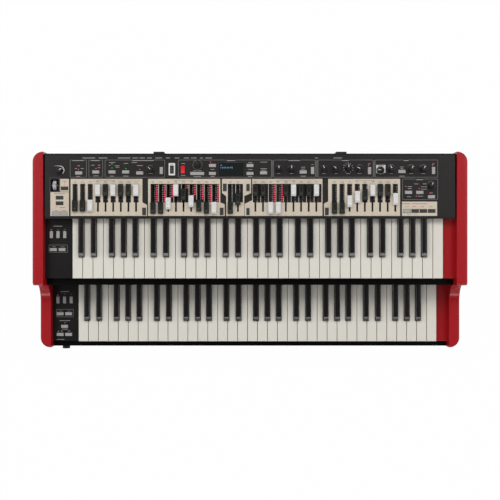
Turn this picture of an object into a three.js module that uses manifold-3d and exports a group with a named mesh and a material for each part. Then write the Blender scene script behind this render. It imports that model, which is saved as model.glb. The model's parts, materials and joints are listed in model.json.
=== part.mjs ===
// A stage organ with two manuals of 61 keys, 38 drawbars and a panel of knobs and buttons.
// Millimetres, +Z up. X runs along the keys, and the player sits on the -Y side.
// The origin lies on the floor, under the middle of the instrument.
import * as THREE from "three";
import { mergeVertices } from "three/addons/utils/BufferGeometryUtils.js";
import Module from "manifold-3d";

const wasm = await Module();
wasm.setup();

// Cabinet sizes
const cheekThickness = 24.3;
const cheekRise = 19;
const cheekLowRise = 12;
const cheekStepRadius = 45;
const cheekCornerRadius = 23;
const footHeight = 10;
const footRadius = 15;
const footTaper = 2;
const footSides = 12;
const footInset = 60;
const sheet = 2;
const fit = 0.3;
const overrun = 5;
const trayInset = 1;

// Keyboard sizes
const keyPitch = 23.5;
const keyGap = 1;
const naturalCount = 36;
const lowerKeyHeight = 66;
const manualRise = 80;
const manualStep = 151;
const lowerKeySetback = 13.3;
const upperKeySetback = 15.4;
const lipDrop = 22;
const lipThickness = 4;
const keyEdgeRadius = 3;
const keyBody = 14;
const keyBodyLength = 141;
const keyShown = 136;
const hingeReach = 200;
const keyDip = 10;
const sharpFront = 49;
const sharpLength = 90;
const sharpWidth = 11;
const sharpTopWidth = 9.4;
const sharpHeight = 12;
const sharpSlope = 7;
const sharpStep = 1.5;
const sharpClearance = 1.4;
const combSheet = 2.6;
const combGap = 0.8;
const combDrop = 4;
const combHalfDepth = 7;
const clampMargin = 1;
const clampOverhang = 4;
const clampPost = 3;
const stopSetback = 12;
const stopWidth = 12;
const stopGap = 1;
const keyRailGap = 1.5;
const railLift = 6;
const leftBlockWidth = 63;
const rightLedgeWidth = 27.6;
const upperBlockDrop = 7;
const lowerBlockDrop = 12;
const blockWall = 2.5;

// Control panel sizes
const panelSetback = 4.5;
const panelThickness = 3;
const panelTopDrop = 2;
const panelSideGap = 3.7;
const panelBevel = 5;
const panelBevelDrop = 1.6;

// Drawbar sizes
const drawbarPitch = 17.25;
const drawbarStep = 5;
const capWidth = 12.1;
const capLength = 26.7;
const capHeight = 9.5;
const capCrown = 5.5;
const capLift = 0.5;
const stemWidth = 3;
const stemBehind = 6;
const stemAhead = 7.5;
const slotWidth = 3.7;
const windowWidth = 11;
const windowBehind = 14.25;
const windowAhead = 27.4;
const slotAhead = 48.3;
const footWidth = 9;
const footLength = 20;
const footSheet = 1.5;
const frameSheet = 1.5;
const frameHeight = 12.7;
const frameMargin = 3;
const frameFrontGap = 5;
const setButtonInset = 1.6;
const setButtonRise = 6.3;

// Knob, button and switch sizes
const knobRadius = 8.2;
const dialRadius = 8;
const knobHeight = 14.3;
const knobSkirt = 4.5;
const knobWaist = 6.4;
const knobTop = 5.6;
const knobSides = 12;
const pointerWidth = 1;
const pointerHeight = 0.5;
const buttonLength = 15.9;
const buttonWidth = 7.2;
const buttonPairLength = 31.6;
const buttonRise = 1.2;
const buttonClearance = 0.4;
const carrierSheet = 1.5;
const carrierMargin = 2;
const matDrop = 6;
const leverRadius = 11;
const leverRise = 4;
const leverWidth = 8.2;
const leverPinRadius = 2;
const wellWidth = 15.6;
const wellLength = 26;
const wellDepth = 16;
const wellWall = 1.5;
const whiteRockerWidth = 7.5;
const whiteRockerLength = 15.6;
const redRockerWidth = 9;
const redRockerLength = 17.2;
const rockerRise = 3.2;
const rockerHollow = 1.4;
const rockerDepth = 3.5;
const rockerClearance = 0.9;
const displayWidth = 56.2;
const displayLength = 30.8;
const displayThickness = 2;

// Rear and front connectors
const socketHeight = 17;
const jackRadius = 5.6;
const jackBore = 3.3;
const jackDepth = 18;
const jackProud = 2;
const jackBody = 14;
const nutSides = 6;
const boreSides = 8;
const dinRadius = 8;
const dinBore = 6.6;
const dinBody = 20;
const dinSides = 12;
const usbWidth = 12;
const usbHeight = 11;
const usbMouthWidth = 8.4;
const usbMouthHeight = 7.6;
const inletWidth = 27;
const inletHeight = 20;
const inletWall = 2.5;
const inletPin = 2;
const inletPinHeight = 6;
const inletPinSpacing = 7;
const inletDepth = 15;
const mainsSwitchWidth = 11;
const mainsSwitchHeight = 18;
const boardSheet = 1.6;
const boardDepth = 52;
const boardGap = 14.1;
const standoffHeight = 6;
const standoffRadius = 3;
const standoffSides = 6;
const bumperWidth = 24;
const bumperHeight = 38;
const bumperReach = 4.5;
const headphoneRadius = 9;
const headphoneReach = 7.2;
const headphoneHeight = 17;
const headphoneSides = 12;

// Places on the control panel, as shares of its width from the left and of its depth from the front
const knobPlaceShares = {
  master_knob: [0.0366, 0.743],
  tremolo_knob: [0.258, 0.751],
  program_dial: [0.3719, 0.826],
  effect_rate_knob: [0.57, 0.766],
  effect_amount_knob: [0.6011, 0.766],
  delay_tempo_knob: [0.6803, 0.766],
  delay_mix_knob: [0.7095, 0.766],
  delay_feedback_knob: [0.7394, 0.781],
  delay_tone_knob: [0.7673, 0.766],
  amp_drive_knob: [0.8181, 0.743],
  amp_bass_knob: [0.8441, 0.766],
  amp_middle_knob: [0.8927, 0.766],
  amp_treble_knob: [0.9219, 0.766],
  reverb_knob: [0.9411, 0.513],
};
const knobTurns = {
  master_knob: -60,
  tremolo_knob: 40,
  delay_tempo_knob: 20,
  delay_mix_knob: 50,
  delay_tone_knob: 70,
  amp_drive_knob: 90,
  amp_bass_knob: 30,
  amp_middle_knob: -20,
  amp_treble_knob: -30,
  reverb_knob: -25,
};
const panelButtonShares = {
  effects_buttons: {
    flat: [[0.0825, 0.701], [0.1242, 0.716], [0.1637, 0.716], [0.1971, 0.716], [0.2312, 0.701]],
    upright: [[0.2838, 0.739]],
    pair: [],
  },
  program_buttons: {
    flat: [[0.4084, 0.816], [0.4084, 0.693], [0.5, 0.816], [0.5, 0.693], [0.5331, 0.704]],
    upright: [],
    pair: [[0.3714, 0.693]],
  },
  tone_buttons: {
    flat: [[0.6297, 0.716], [0.8702, 0.724]],
    upright: [[0.6523, 0.739], [0.7912, 0.737], [0.9472, 0.739]],
    pair: [],
  },
  left_organ_buttons: {
    flat: [[0.0481, 0.464], [0.036, 0.321], [0.036, 0.235], [0.0264, 0.08], [0.0462, 0.08]],
    upright: [],
    pair: [],
    column: true,
  },
  right_organ_buttons: {
    flat: [
      [0.8863, 0.403], [0.9138, 0.403], [0.9423, 0.335],
      [0.8821, 0.117], [0.9024, 0.117], [0.9223, 0.117], [0.9428, 0.117],
    ],
    upright: [],
    pair: [],
  },
};
const drawbarButtonShares = { front: [0.2419, 0.431, 0.4951, 0.6872], rear: [0.4386, 0.4951] };
const displayShare = [0.4542, 0.761];
const leverShare = [0.0239, 0.51];
const rockerShares = { white_rocker: [0.3097, 0.753], red_rocker: [0.3362, 0.754] };
const rockerSizes = {
  white_rocker: [whiteRockerWidth, whiteRockerLength],
  red_rocker: [redRockerWidth, redRockerLength],
};
const drawbarHomeShare = 0.435;

// The five drawbar groups: where the first bar stands, as a share of the panel's width, and how many
// steps each bar is pulled out. A wide group shares one window.
const drawbarGroups = [
  { name: "left", startShare: 0.0738, out: [7, 7, 7, 0, 0, 0, 0, 0, 0], wide: false, moves: false },
  { name: "main", startShare: 0.2638, out: [8, 8, 6, 0, 2, 5, 7, 8, 8], wide: true, moves: true },
  { name: "bass", startShare: 0.452, out: [8, 4], wide: true, moves: true },
  { name: "right", startShare: 0.5131, out: [0, 0, 8, 8, 0, 0, 0, 0, 0], wide: true, moves: false },
  { name: "far", startShare: 0.7056, out: [8, 8, 5, 3, 2, 0, 0, 0, 4], wide: false, moves: false },
];

// Places on the left blocks, as shares of their width and of the shown key length
const blockButtonShares = {
  upper: {
    flat: [[0.289, 0.485], [0.608, 0.485]],
    upright: [[0.217, 0.736], [0.457, 0.736], [0.703, 0.736]],
  },
  lower: {
    flat: [[0.276, 0.475], [0.594, 0.475], [0.441, 0.255], [0.276, 0.114], [0.594, 0.114]],
    upright: [[0.194, 0.715], [0.443, 0.715], [0.692, 0.715]],
  },
};

// Connectors along the rear wall, as shares of the width between the cheeks
const jackShares = [0.11, 0.1446, 0.1954, 0.222, 0.2396, 0.2572, 0.279, 0.3023, 0.3237];
const dinShares = [0.3549, 0.3822];
const usbShare = 0.4004;
const inletShare = 0.7113;
const mainsSwitchShare = 0.6618;
const bumperShares = [0.279, 0.721];
const headphoneShare = 0.0295;

// Where the sharps stand: after which natural of the octave, and how far from the gap there, as shares
// of the width of a natural
const octaveNaturals = 7;
const sharpOffsetShares = { 0: -0.11, 1: 0.094, 3: -0.153, 4: 0, 5: 0.128 };
const combOfNatural = ["cegb", "dfa", "cegb", "dfa", "cegb", "dfa", "cegb"];

// Places that follow from the sizes. The panel reaches from the shown keys over their hinges and the
// boards to the rear wall, and the cheeks take in everything from there to the lower manual's front.
const upperKeyHeight = lowerKeyHeight + manualRise;
const overallHeight = upperKeyHeight + cheekRise;
const cheekLowHeight = lowerKeyHeight + cheekLowRise;
const keyboardWidth = naturalCount * keyPitch;
const innerWidth = leftBlockWidth + keyboardWidth + rightLedgeWidth;
const innerHalf = innerWidth / 2;
const overallWidth = innerWidth + 2 * cheekThickness;
const keyboardLeft = leftBlockWidth - innerHalf;
const keybedFront = 2 * lipThickness;
const keybedRear = hingeReach + combHalfDepth + keybedFront;
const panelDepth = keybedRear + boardGap + boardDepth + fit + sheet - keyShown;
const cheekDepth = panelSetback + panelDepth + keyShown + manualStep + lowerKeySetback;
const overallDepth = cheekDepth + headphoneReach - trayInset;
const rearY = overallDepth / 2;
const frontY = rearY - cheekDepth;
const lowerKeyFront = frontY + lowerKeySetback;
const upperKeyFront = lowerKeyFront + manualStep;
const stepY = upperKeyFront - upperKeySetback;
const panelTop = overallHeight - panelTopDrop;
const panelBottom = panelTop - panelThickness;
const panelRear = rearY - panelSetback;
const panelFront = panelRear - panelDepth;
const panelHalf = innerHalf - panelSideGap;
const trayFloor = footHeight + sheet;
const trayFront = frontY + trayInset;
const keybedTop = keyDip + keyBody + stopGap;
const sharpOffset = (note) => sharpOffsetShares[note] * keyPitch;
const combLevels = { cegb: -combDrop, dfa: -combDrop - combSheet - combGap };
combLevels.sharps = combLevels.dfa - combSheet - combGap;
const homeY = panelFront + drawbarHomeShare * panelDepth;
const railBottom = cheekLowHeight + railLift;

// Geometry helpers. Each one gives a solid that can be joined to another or cut by it.
function solidOf(geometry) {
  const bare = geometry.index ? geometry.toNonIndexed() : geometry;
  bare.deleteAttribute("normal");
  bare.deleteAttribute("uv");
  const merged = mergeVertices(bare);
  const mesh = new wasm.Mesh({
    numProp: 3,
    vertProperties: merged.attributes.position.array,
    triVerts: new Uint32Array(merged.index.array),
  });
  return new wasm.Manifold(mesh);
}

function geometryOf(solid) {
  const mesh = solid.getMesh();
  const geometry = new THREE.BufferGeometry();
  geometry.setAttribute("position", new THREE.BufferAttribute(mesh.vertProperties, mesh.numProp));
  geometry.setIndex(new THREE.BufferAttribute(mesh.triVerts, 1));
  const flat = geometry.toNonIndexed();
  flat.computeVertexNormals();
  return flat;
}

function join(solids) {
  return solids.reduce((whole, piece) => whole.add(piece));
}

function cut(solid, tools) {
  return tools.reduce((rest, tool) => rest.subtract(tool), solid);
}

function block([x0, x1], [y0, y1], [z0, z1]) {
  const geometry = new THREE.BoxGeometry(x1 - x0, y1 - y0, z1 - z0);
  geometry.translate((x0 + x1) / 2, (y0 + y1) / 2, (z0 + z1) / 2);
  return solidOf(geometry);
}

function outline(points) {
  return new THREE.Shape(points.map(([u, v]) => new THREE.Vector2(u, v)));
}

function extruded(shape, length, curveSegments) {
  return new THREE.ExtrudeGeometry(shape, { depth: length, bevelEnabled: false, curveSegments });
}

// A plan outline raised from one height to another
function raised(shape, [z0, z1], curveSegments = 6) {
  const geometry = extruded(shape, z1 - z0, curveSegments);
  geometry.translate(0, 0, z0);
  return solidOf(geometry);
}

// A side outline, drawn in Y and Z, run along X
function alongX(shape, [x0, x1], curveSegments = 8) {
  const geometry = extruded(shape, x1 - x0, curveSegments);
  geometry.applyMatrix4(new THREE.Matrix4().set(0, 0, 1, x0, 1, 0, 0, 0, 0, 1, 0, 0, 0, 0, 0, 1));
  return solidOf(geometry);
}

// A front outline, drawn in X and Z, run along Y
function alongY(shape, [y0, y1], curveSegments = 6) {
  const geometry = extruded(shape, y1 - y0, curveSegments);
  geometry.applyMatrix4(new THREE.Matrix4().set(1, 0, 0, 0, 0, 0, -1, y1, 0, 1, 0, 0, 0, 0, 0, 1));
  return solidOf(geometry);
}

// A profile of radius and height turned about the Z axis
function turned(points, sides) {
  const profile = points.map(([r, z]) => new THREE.Vector2(r, z));
  const geometry = new THREE.LatheGeometry(profile, sides);
  geometry.rotateX(Math.PI / 2);
  return solidOf(geometry);
}

function post(radius, [z0, z1], sides, x = 0, y = 0) {
  const geometry = new THREE.CylinderGeometry(radius, radius, z1 - z0, sides);
  geometry.rotateX(Math.PI / 2);
  geometry.translate(x, y, (z0 + z1) / 2);
  return solidOf(geometry);
}

// A round bar or bore that runs along Y
function rod(radius, [y0, y1], sides, x, z) {
  const geometry = new THREE.CylinderGeometry(radius, radius, y1 - y0, sides);
  geometry.translate(x, (y0 + y1) / 2, z);
  return solidOf(geometry);
}

function rectangle(x, y, width, length) {
  return [
    [x - width / 2, y - length / 2], [x + width / 2, y - length / 2],
    [x + width / 2, y + length / 2], [x - width / 2, y + length / 2],
  ];
}

function finish(color, roughness, metalness = 0) {
  return new THREE.MeshStandardMaterial({ color, roughness, metalness });
}

const finishes = {
  red: finish(0x9c1f27, 0.3),
  black: finish(0x2b292a, 0.55),
  steel: finish(0x8d9093, 0.45, 0.9),
  ivory: finish(0xd8d4cb, 0.35),
  ebony: finish(0x141214, 0.25),
  darkCap: finish(0x262a26, 0.5),
  whiteCap: finish(0xe9e9e9, 0.4),
  greyButton: finish(0x9b9b9c, 0.6),
  darkButton: finish(0x2e3230, 0.6),
  redButton: finish(0xc8202a, 0.45),
  silver: finish(0xb9bcc0, 0.3, 0.9),
  glass: finish(0x10161c, 0.1),
  board: finish(0x1d4a30, 0.6),
  rubber: finish(0x161616, 0.9),
};

function piece(name, solid, material, x = 0, y = 0, z = 0) {
  const mesh = new THREE.Mesh(geometryOf(solid), material);
  mesh.name = name;
  mesh.position.set(x, y, z);
  return mesh;
}

// Cheeks: a plank with a tall rear, a hollow step down to the lower manual and rounded outer corners
function cheekSide() {
  const side = new THREE.Shape();
  side.moveTo(rearY, footHeight);
  side.lineTo(rearY, overallHeight);
  side.lineTo(stepY, overallHeight);
  side.lineTo(stepY, cheekLowHeight + cheekStepRadius);
  side.absarc(
    stepY - cheekStepRadius, cheekLowHeight + cheekStepRadius, cheekStepRadius, 0, -Math.PI / 2, true,
  );
  side.lineTo(frontY, cheekLowHeight);
  side.lineTo(frontY, footHeight);
  return side;
}

function cheek(hand) {
  const inner = hand * innerHalf;
  const outer = hand * (overallWidth / 2);
  const span = [Math.min(inner, outer), Math.max(inner, outer)];
  const plan = new THREE.Shape();
  const round = cheekCornerRadius;
  plan.moveTo(inner, frontY);
  plan.lineTo(outer - hand * round, frontY);
  plan.absarc(outer - hand * round, frontY + round, round, -Math.PI / 2, hand > 0 ? 0 : -Math.PI, hand < 0);
  plan.lineTo(outer, rearY - round);
  plan.absarc(outer - hand * round, rearY - round, round, hand > 0 ? 0 : Math.PI, Math.PI / 2, hand < 0);
  plan.lineTo(inner, rearY);
  const plank = alongX(cheekSide(), span);
  return plank.intersect(raised(plan, [0, overallHeight + overrun]));
}

// The right cheek carries a ledge beside the last key of each manual.
function keyLedge(keyFront, keyHeight, drop) {
  return block(
    [innerHalf - rightLedgeWidth + keyGap / 2, innerHalf + cheekThickness / 2],
    [keyFront, keyFront + keyBodyLength],
    [keyHeight - keybedTop + fit, keyHeight - drop],
  );
}

// Folded sheet tray: rear wall, floor, front wall and the return that forms the lower front rail
function tray() {
  const railTop = lowerKeyHeight - lipDrop;
  const railRear = lowerKeyFront - keyRailGap;
  const section = outline([
    [panelRear, footHeight], [panelRear, panelBottom - fit], [panelRear - sheet, panelBottom - fit],
    [panelRear - sheet, trayFloor], [trayFront + sheet, trayFloor], [trayFront + sheet, railTop - sheet],
    [railRear - sheet, railTop - sheet], [railRear - sheet, railTop - keyDip], [railRear, railTop - keyDip],
    [railRear, railTop], [trayFront, railTop], [trayFront, footHeight],
  ]);
  const folded = alongX(section, [-innerHalf + fit, innerHalf - fit]);
  const bumpers = bumperShares.map((share) => {
    const x = (share - 1 / 2) * innerWidth;
    return block(
      [x - bumperWidth / 2, x + bumperWidth / 2],
      [panelRear - sheet, panelRear + bumperReach],
      [panelBottom - fit - bumperHeight, panelBottom - fit],
    );
  });
  const wall = [panelRear - sheet - overrun, panelRear + overrun];
  const z = trayFloor + socketHeight;
  const holes = [
    ...jackShares.map((share) => rod(jackRadius + 2 * fit, wall, boreSides, (share - 1 / 2) * innerWidth, z)),
    ...dinShares.map((share) => rod(dinRadius + 2 * fit, wall, dinSides, (share - 1 / 2) * innerWidth, z)),
    wallHole(usbShare, usbWidth + 2 * fit, usbHeight + 2 * fit, wall, z),
    wallHole(inletShare, inletWidth + 2 * fit, inletHeight + 2 * fit, wall, z),
    wallHole(mainsSwitchShare, mainsSwitchWidth + 2 * fit, mainsSwitchHeight + 2 * rockerClearance, wall, z),
  ];
  const x = (headphoneShare - 1 / 2) * innerWidth;
  const nutZ = trayFloor + headphoneHeight;
  const nut = rod(headphoneRadius, [trayFront - headphoneReach, trayFront + sheet], headphoneSides, x, nutZ);
  const barrel = rod(jackRadius, [trayFront, trayFront + jackDepth], boreSides, x, nutZ);
  const plugWay = [trayFront - headphoneReach - overrun, trayFront + jackDepth - sheet];
  const bore = rod(jackBore, plugWay, boreSides, x, nutZ);
  return cut(join([folded, ...bumpers, nut, barrel]), [...holes, bore]);
}

function wallHole(share, width, height, wall, z) {
  const x = (share - 1 / 2) * innerWidth;
  return block([x - width / 2, x + width / 2], wall, [z - height / 2, z + height / 2]);
}

// Folded rail that closes the front of the upper manual
function upperRail() {
  const top = upperKeyHeight - lipDrop;
  const rear = upperKeyFront - keyRailGap;
  const seat = upperKeyFront + keybedFront - fit;
  const foldTop = railBottom + sheet;
  const section = outline([
    [stepY, top], [stepY, railBottom], [seat, railBottom], [seat, foldTop], [stepY + sheet, foldTop],
    [stepY + sheet, top - sheet], [rear - sheet, top - sheet], [rear - sheet, top - keyDip],
    [rear, top - keyDip], [rear, top],
  ]);
  return alongX(section, [-innerHalf + fit, innerHalf - fit]);
}

// Manuals. Each is built with its own origin: X at the left side of the lowest key, Y at the key
// fronts and Z at the tops of the naturals.
function naturalSide(level) {
  const root = hingeReach - combHalfDepth + combSheet;
  const side = new THREE.Shape();
  side.moveTo(0, -lipDrop);
  side.lineTo(lipThickness, -lipDrop);
  side.lineTo(lipThickness, -keyBody);
  side.lineTo(keyBodyLength, -keyBody);
  side.lineTo(keyBodyLength, level - combSheet);
  side.lineTo(root, level - combSheet);
  side.lineTo(root, level);
  side.lineTo(keyBodyLength, level);
  side.lineTo(keyBodyLength, 0);
  side.lineTo(keyEdgeRadius, 0);
  side.absarc(keyEdgeRadius, -keyEdgeRadius, keyEdgeRadius, Math.PI / 2, Math.PI, false);
  return side;
}

// A natural is cut back beside each sharp next to it.
function naturalPlan(index) {
  const left = index * keyPitch;
  const note = index % octaveNaturals;
  const last = index === naturalCount - 1;
  const before = (index + octaveNaturals - 1) % octaveNaturals;
  const halfCut = sharpWidth / 2 + sharpClearance;
  const sharpBefore = before in sharpOffsetShares && index > 0;
  const sharpAfter = note in sharpOffsetShares && !last;
  const x0 = left + keyGap / 2;
  const x1 = left + keyPitch - keyGap / 2;
  const tail0 = sharpBefore ? left + sharpOffset(before) + halfCut : x0;
  const tail1 = sharpAfter ? left + keyPitch + sharpOffset(note) - halfCut : x1;
  const shoulder = sharpFront - sharpClearance;
  const end = hingeReach;
  const points = [[x0, -overrun], [x1, -overrun], [x1, shoulder], [tail1, shoulder], [tail1, end]];
  points.push([tail0, end], [tail0, shoulder], [x0, shoulder]);
  return outline(points.filter(([x, y], i) => i === 0 || x !== points[i - 1][0] || y !== points[i - 1][1]));
}

function combRail(level) {
  return block(
    [keyGap / 2, keyboardWidth - keyGap / 2],
    [hingeReach - combHalfDepth, hingeReach + combHalfDepth],
    [level - combSheet, level],
  );
}

function naturalComb(comb) {
  const level = combLevels[comb];
  const keys = [];
  for (let index = 0; index < naturalCount; index++) {
    if (combOfNatural[index % octaveNaturals] !== comb) continue;
    const left = index * keyPitch;
    const bar = alongX(naturalSide(level), [left, left + keyPitch], 2);
    keys.push(bar.intersect(raised(naturalPlan(index), [-lipDrop - overrun, overrun])));
  }
  return join([combRail(level), ...keys]);
}

function sharpComb() {
  const level = combLevels.sharps;
  const rear = sharpFront + sharpLength;
  const root = hingeReach - combHalfDepth + combSheet;
  const side = outline([
    [sharpFront, -keyBody], [rear, -keyBody], [rear, level - combSheet], [root, level - combSheet],
    [root, level], [rear, level], [rear, sharpHeight], [sharpFront + sharpSlope, sharpHeight],
    [sharpFront, sharpStep],
  ]);
  const keys = [];
  for (let index = 0; index < naturalCount - 1; index++) {
    const note = index % octaveNaturals;
    if (!(note in sharpOffsetShares)) continue;
    const x = (index + 1) * keyPitch + sharpOffset(note);
    const end = outline([
      [x - sharpWidth / 2, -keyBody], [x + sharpWidth / 2, -keyBody],
      [x + sharpTopWidth / 2, sharpHeight], [x - sharpTopWidth / 2, sharpHeight],
    ]);
    const bar = alongX(side, [x - sharpWidth, x + sharpWidth]);
    keys.push(bar.intersect(alongY(end, [0, hingeReach])));
  }
  return join([combRail(level), ...keys]);
}

// Folded chassis with a stop strip under the keys, a ridge that carries the combs and a clamp over them
function keybed(frontLeg, rearLeg) {
  const span = [-leftBlockWidth + fit, keyboardWidth + rightLedgeWidth - fit];
  const top = -keybedTop;
  const section = outline([
    [keybedFront, top], [keybedFront, -frontLeg], [keybedFront + sheet, -frontLeg],
    [keybedFront + sheet, top - sheet], [keybedRear - sheet, top - sheet], [keybedRear - sheet, -rearLeg],
    [keybedRear, -rearLeg], [keybedRear, top],
  ]);
  const keys = [keyGap / 2, keyboardWidth - keyGap / 2];
  const stopSpan = [stopSetback, stopSetback + stopWidth];
  const stop = block(keys, stopSpan, [top - sheet / 2, top + stopGap + fit / 2]);
  const ridgeTop = combLevels.sharps - combSheet - fit;
  const ridge = block(keys, [hingeReach - sheet, hingeReach + sheet], [top - sheet / 2, ridgeTop]);
  const clampFrom = -combDrop + fit + combGap / 4;
  const clampSpan = [-clampOverhang, keyboardWidth + clampOverhang];
  const clampHalf = combHalfDepth - clampMargin;
  const clampDepth = [hingeReach - clampHalf, hingeReach + clampHalf];
  const clamp = block(clampSpan, clampDepth, [clampFrom, clampFrom + sheet]);
  const postHeight = [top - sheet / 2, clampFrom + sheet / 2];
  const posts = [
    block([clampSpan[0], clampSpan[0] + clampPost], clampDepth, postHeight),
    block([clampSpan[1] - clampPost, clampSpan[1]], clampDepth, postHeight),
  ];
  return join([alongX(section, span), stop, ridge, clamp, ...posts]);
}

function blockPlaces(shares) {
  return shares.map(([across, along]) => [-leftBlockWidth + across * leftBlockWidth, along * keyShown]);
}

// Hollow block to the left of the lowest key, with openings for its buttons
function leftBlock(drop, shares) {
  const across = [-leftBlockWidth + fit, -keyGap / 2];
  const along = [0, keyBodyLength];
  const height = [-keybedTop + fit, -drop];
  const inner = block(
    [across[0] + blockWall, across[1] - blockWall], [along[0] + blockWall, along[1] - blockWall],
    [height[0] - overrun, height[1] - blockWall],
  );
  const holes = buttonOutlines(shares, blockPlaces, buttonClearance).map(
    (hole) => raised(outline(hole), [-drop - blockWall - overrun, -drop + overrun]),
  );
  return cut(block(across, along, height), [inner, ...holes]);
}

// Buttons: caps on one moulded carrier, so that a group moves as one mat
function buttonOutlines(shares, places, spread = 0) {
  const long = buttonLength + 2 * spread;
  const short = buttonWidth + 2 * spread;
  const pairLong = buttonPairLength + 2 * spread;
  return [
    ...places(shares.flat).map(([x, y]) => rectangle(x, y, long, short)),
    ...places(shares.upright).map(([x, y]) => rectangle(x, y, short, long)),
    ...places(shares.pair ?? []).map(([x, y]) => rectangle(x, y, pairLong, short)),
  ];
}

function reachOf(outlines) {
  const corners = outlines.flat();
  const xs = corners.map(([x]) => x);
  const ys = corners.map(([, y]) => y);
  return [
    [Math.min(...xs) - carrierMargin, Math.max(...xs) + carrierMargin],
    [Math.min(...ys) - carrierMargin, Math.max(...ys) + carrierMargin],
  ];
}

// With a column, the first button stands apart on a strip of its own that runs down to the others' carrier.
function buttonMat(outlines, surface, underside, column = false) {
  const top = underside - matDrop;
  const levels = [top - carrierSheet, top];
  const [across, along] = reachOf(column ? outlines.slice(1) : outlines);
  const carriers = [block(across, along, levels)];
  if (column) {
    const [columnAcross, columnAlong] = reachOf(outlines.slice(0, 1));
    carriers.push(block(columnAcross, [along[0], columnAlong[1]], levels));
  }
  const caps = outlines.map((cap) => raised(outline(cap), [top - carrierSheet / 2, surface + buttonRise]));
  return join([...carriers, ...caps]);
}

function manual(name, frontLeg, rearLeg, drop) {
  const shares = blockButtonShares[name];
  const group = new THREE.Group();
  const caps = buttonOutlines(shares, blockPlaces);
  group.add(
    piece(name + "_keybed", keybed(frontLeg, rearLeg), finishes.steel),
    piece(name + "_naturals_cegb", naturalComb("cegb"), finishes.ivory),
    piece(name + "_naturals_dfa", naturalComb("dfa"), finishes.ivory),
    piece(name + "_sharps", sharpComb(), finishes.ebony),
    piece(name + "_left_block", leftBlock(drop, shares), finishes.black),
    piece(name + "_block_buttons", buttonMat(caps, -drop, -drop - blockWall), finishes.greyButton),
  );
  return group;
}

// Control panel: a thick sheet with a bevelled front edge and every opening that something passes through
function panelPoint([across, along]) {
  return [(across - 1 / 2) * 2 * panelHalf, panelFront + along * panelDepth];
}

function panelPlaces(shares) {
  return shares.map(panelPoint);
}

// The set buttons stand in a front row, just inside the drawbar frame, and a rear row by the windows.
function setButtons() {
  const frontY = panelFront + frameFrontGap + frameSheet + setButtonInset + buttonLength / 2;
  const row = (shares, y) =>
    shares.map((share) => rectangle(panelPoint([share, 0])[0], y, buttonWidth, buttonLength));
  return {
    front: row(drawbarButtonShares.front, frontY),
    rear: row(drawbarButtonShares.rear, homeY + setButtonRise),
  };
}

function setButtonHoles() {
  const { front, rear } = setButtons();
  return [...front, ...rear].map(([[x0, y0], , [x1, y1]]) =>
    rectangle((x0 + x1) / 2, (y0 + y1) / 2, x1 - x0 + 2 * buttonClearance, y1 - y0 + 2 * buttonClearance),
  );
}

function drawbarX(group, index) {
  return (group.startShare - 1 / 2) * 2 * panelHalf + index * drawbarPitch;
}

function slotOutline(x) {
  const length = windowBehind + slotAhead;
  return rectangle(x, homeY + windowBehind - length / 2, slotWidth, length);
}

function drawbarOpenings() {
  const through = [panelBottom - overrun, panelTop + overrun];
  const length = windowBehind + windowAhead;
  const y = homeY + windowBehind - length / 2;
  return drawbarGroups.flatMap((group) => {
    const last = group.out.length - 1;
    const middle = (drawbarX(group, 0) + drawbarX(group, last)) / 2;
    const slots = group.out.map((_, index) => raised(outline(slotOutline(drawbarX(group, index))), through));
    const windows = group.wide
      ? [rectangle(middle, y, windowWidth + last * drawbarPitch, length)]
      : group.out.map((_, index) => rectangle(drawbarX(group, index), y, windowWidth, length));
    return [...slots, ...windows.map((window) => raised(outline(window), through))];
  });
}

function controlPanel() {
  const section = outline([
    [panelRear, panelBottom], [panelRear, panelTop], [panelFront + panelBevel, panelTop],
    [panelFront, panelTop - panelBevelDrop], [panelFront, panelBottom],
  ]);
  const plate = alongX(section, [-panelHalf, panelHalf]);
  const [leverX, leverY] = panelPoint(leverShare);
  const wellOuter = rectangle(leverX, leverY, wellWidth + 2 * wellWall, wellLength + 2 * wellWall);
  const well = raised(outline(wellOuter), [panelBottom - wellDepth, panelTop - panelThickness / 2]);
  const through = [panelBottom - overrun, panelTop + overrun];
  const caps = Object.values(panelButtonShares).flatMap((shares) =>
    buttonOutlines(shares, panelPlaces, buttonClearance),
  );
  caps.push(...setButtonHoles());
  for (const [name, share] of Object.entries(rockerShares)) {
    const [x, y] = panelPoint(share);
    const [width, length] = rockerSizes[name];
    caps.push(rectangle(x, y, width + 2 * buttonClearance, length + 2 * rockerClearance));
  }
  const [displayX, displayY] = panelPoint(displayShare);
  caps.push(rectangle(displayX, displayY, displayWidth + 2 * fit, displayLength + 2 * fit));
  const wellInner = rectangle(leverX, leverY, wellWidth, wellLength);
  return cut(plate.add(well), [
    ...caps.map((cap) => raised(outline(cap), through)),
    raised(outline(wellInner), [panelBottom - wellDepth + wellWall, panelTop + overrun]),
    ...drawbarOpenings(),
  ]);
}

// Drawbars: a bevelled cap over the panel, a thin stem through the slot and a foot under the frame's top.
// Each is built with its origin under the middle of its cap, at the height of the panel's top.
function drawbarCap() {
  const low = capLift;
  const shoulder = capLift + capCrown;
  const top = capLift + capHeight;
  const half = capLength / 2;
  const side = outline([
    [-half, low], [half, low], [half, shoulder], [half - capHeight / 2, top],
    [-half + capHeight / 2, top], [-half, shoulder],
  ]);
  return alongX(side, [-capWidth / 2, capWidth / 2]);
}

function movingDrawbar(name, x, y, material) {
  const footTop = -panelThickness - fit - frameSheet - fit;
  const stemHeight = [footTop - footSheet / 2, capLift + capCrown / 2];
  const stem = block([-stemWidth / 2, stemWidth / 2], [-stemAhead, stemBehind], stemHeight);
  const foot = block(
    [-footWidth / 2, footWidth / 2], [-footLength / 2, footLength / 2], [footTop - footSheet, footTop],
  );
  return piece(name, join([drawbarCap(), stem, foot]), material, x, y, panelTop);
}

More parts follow.
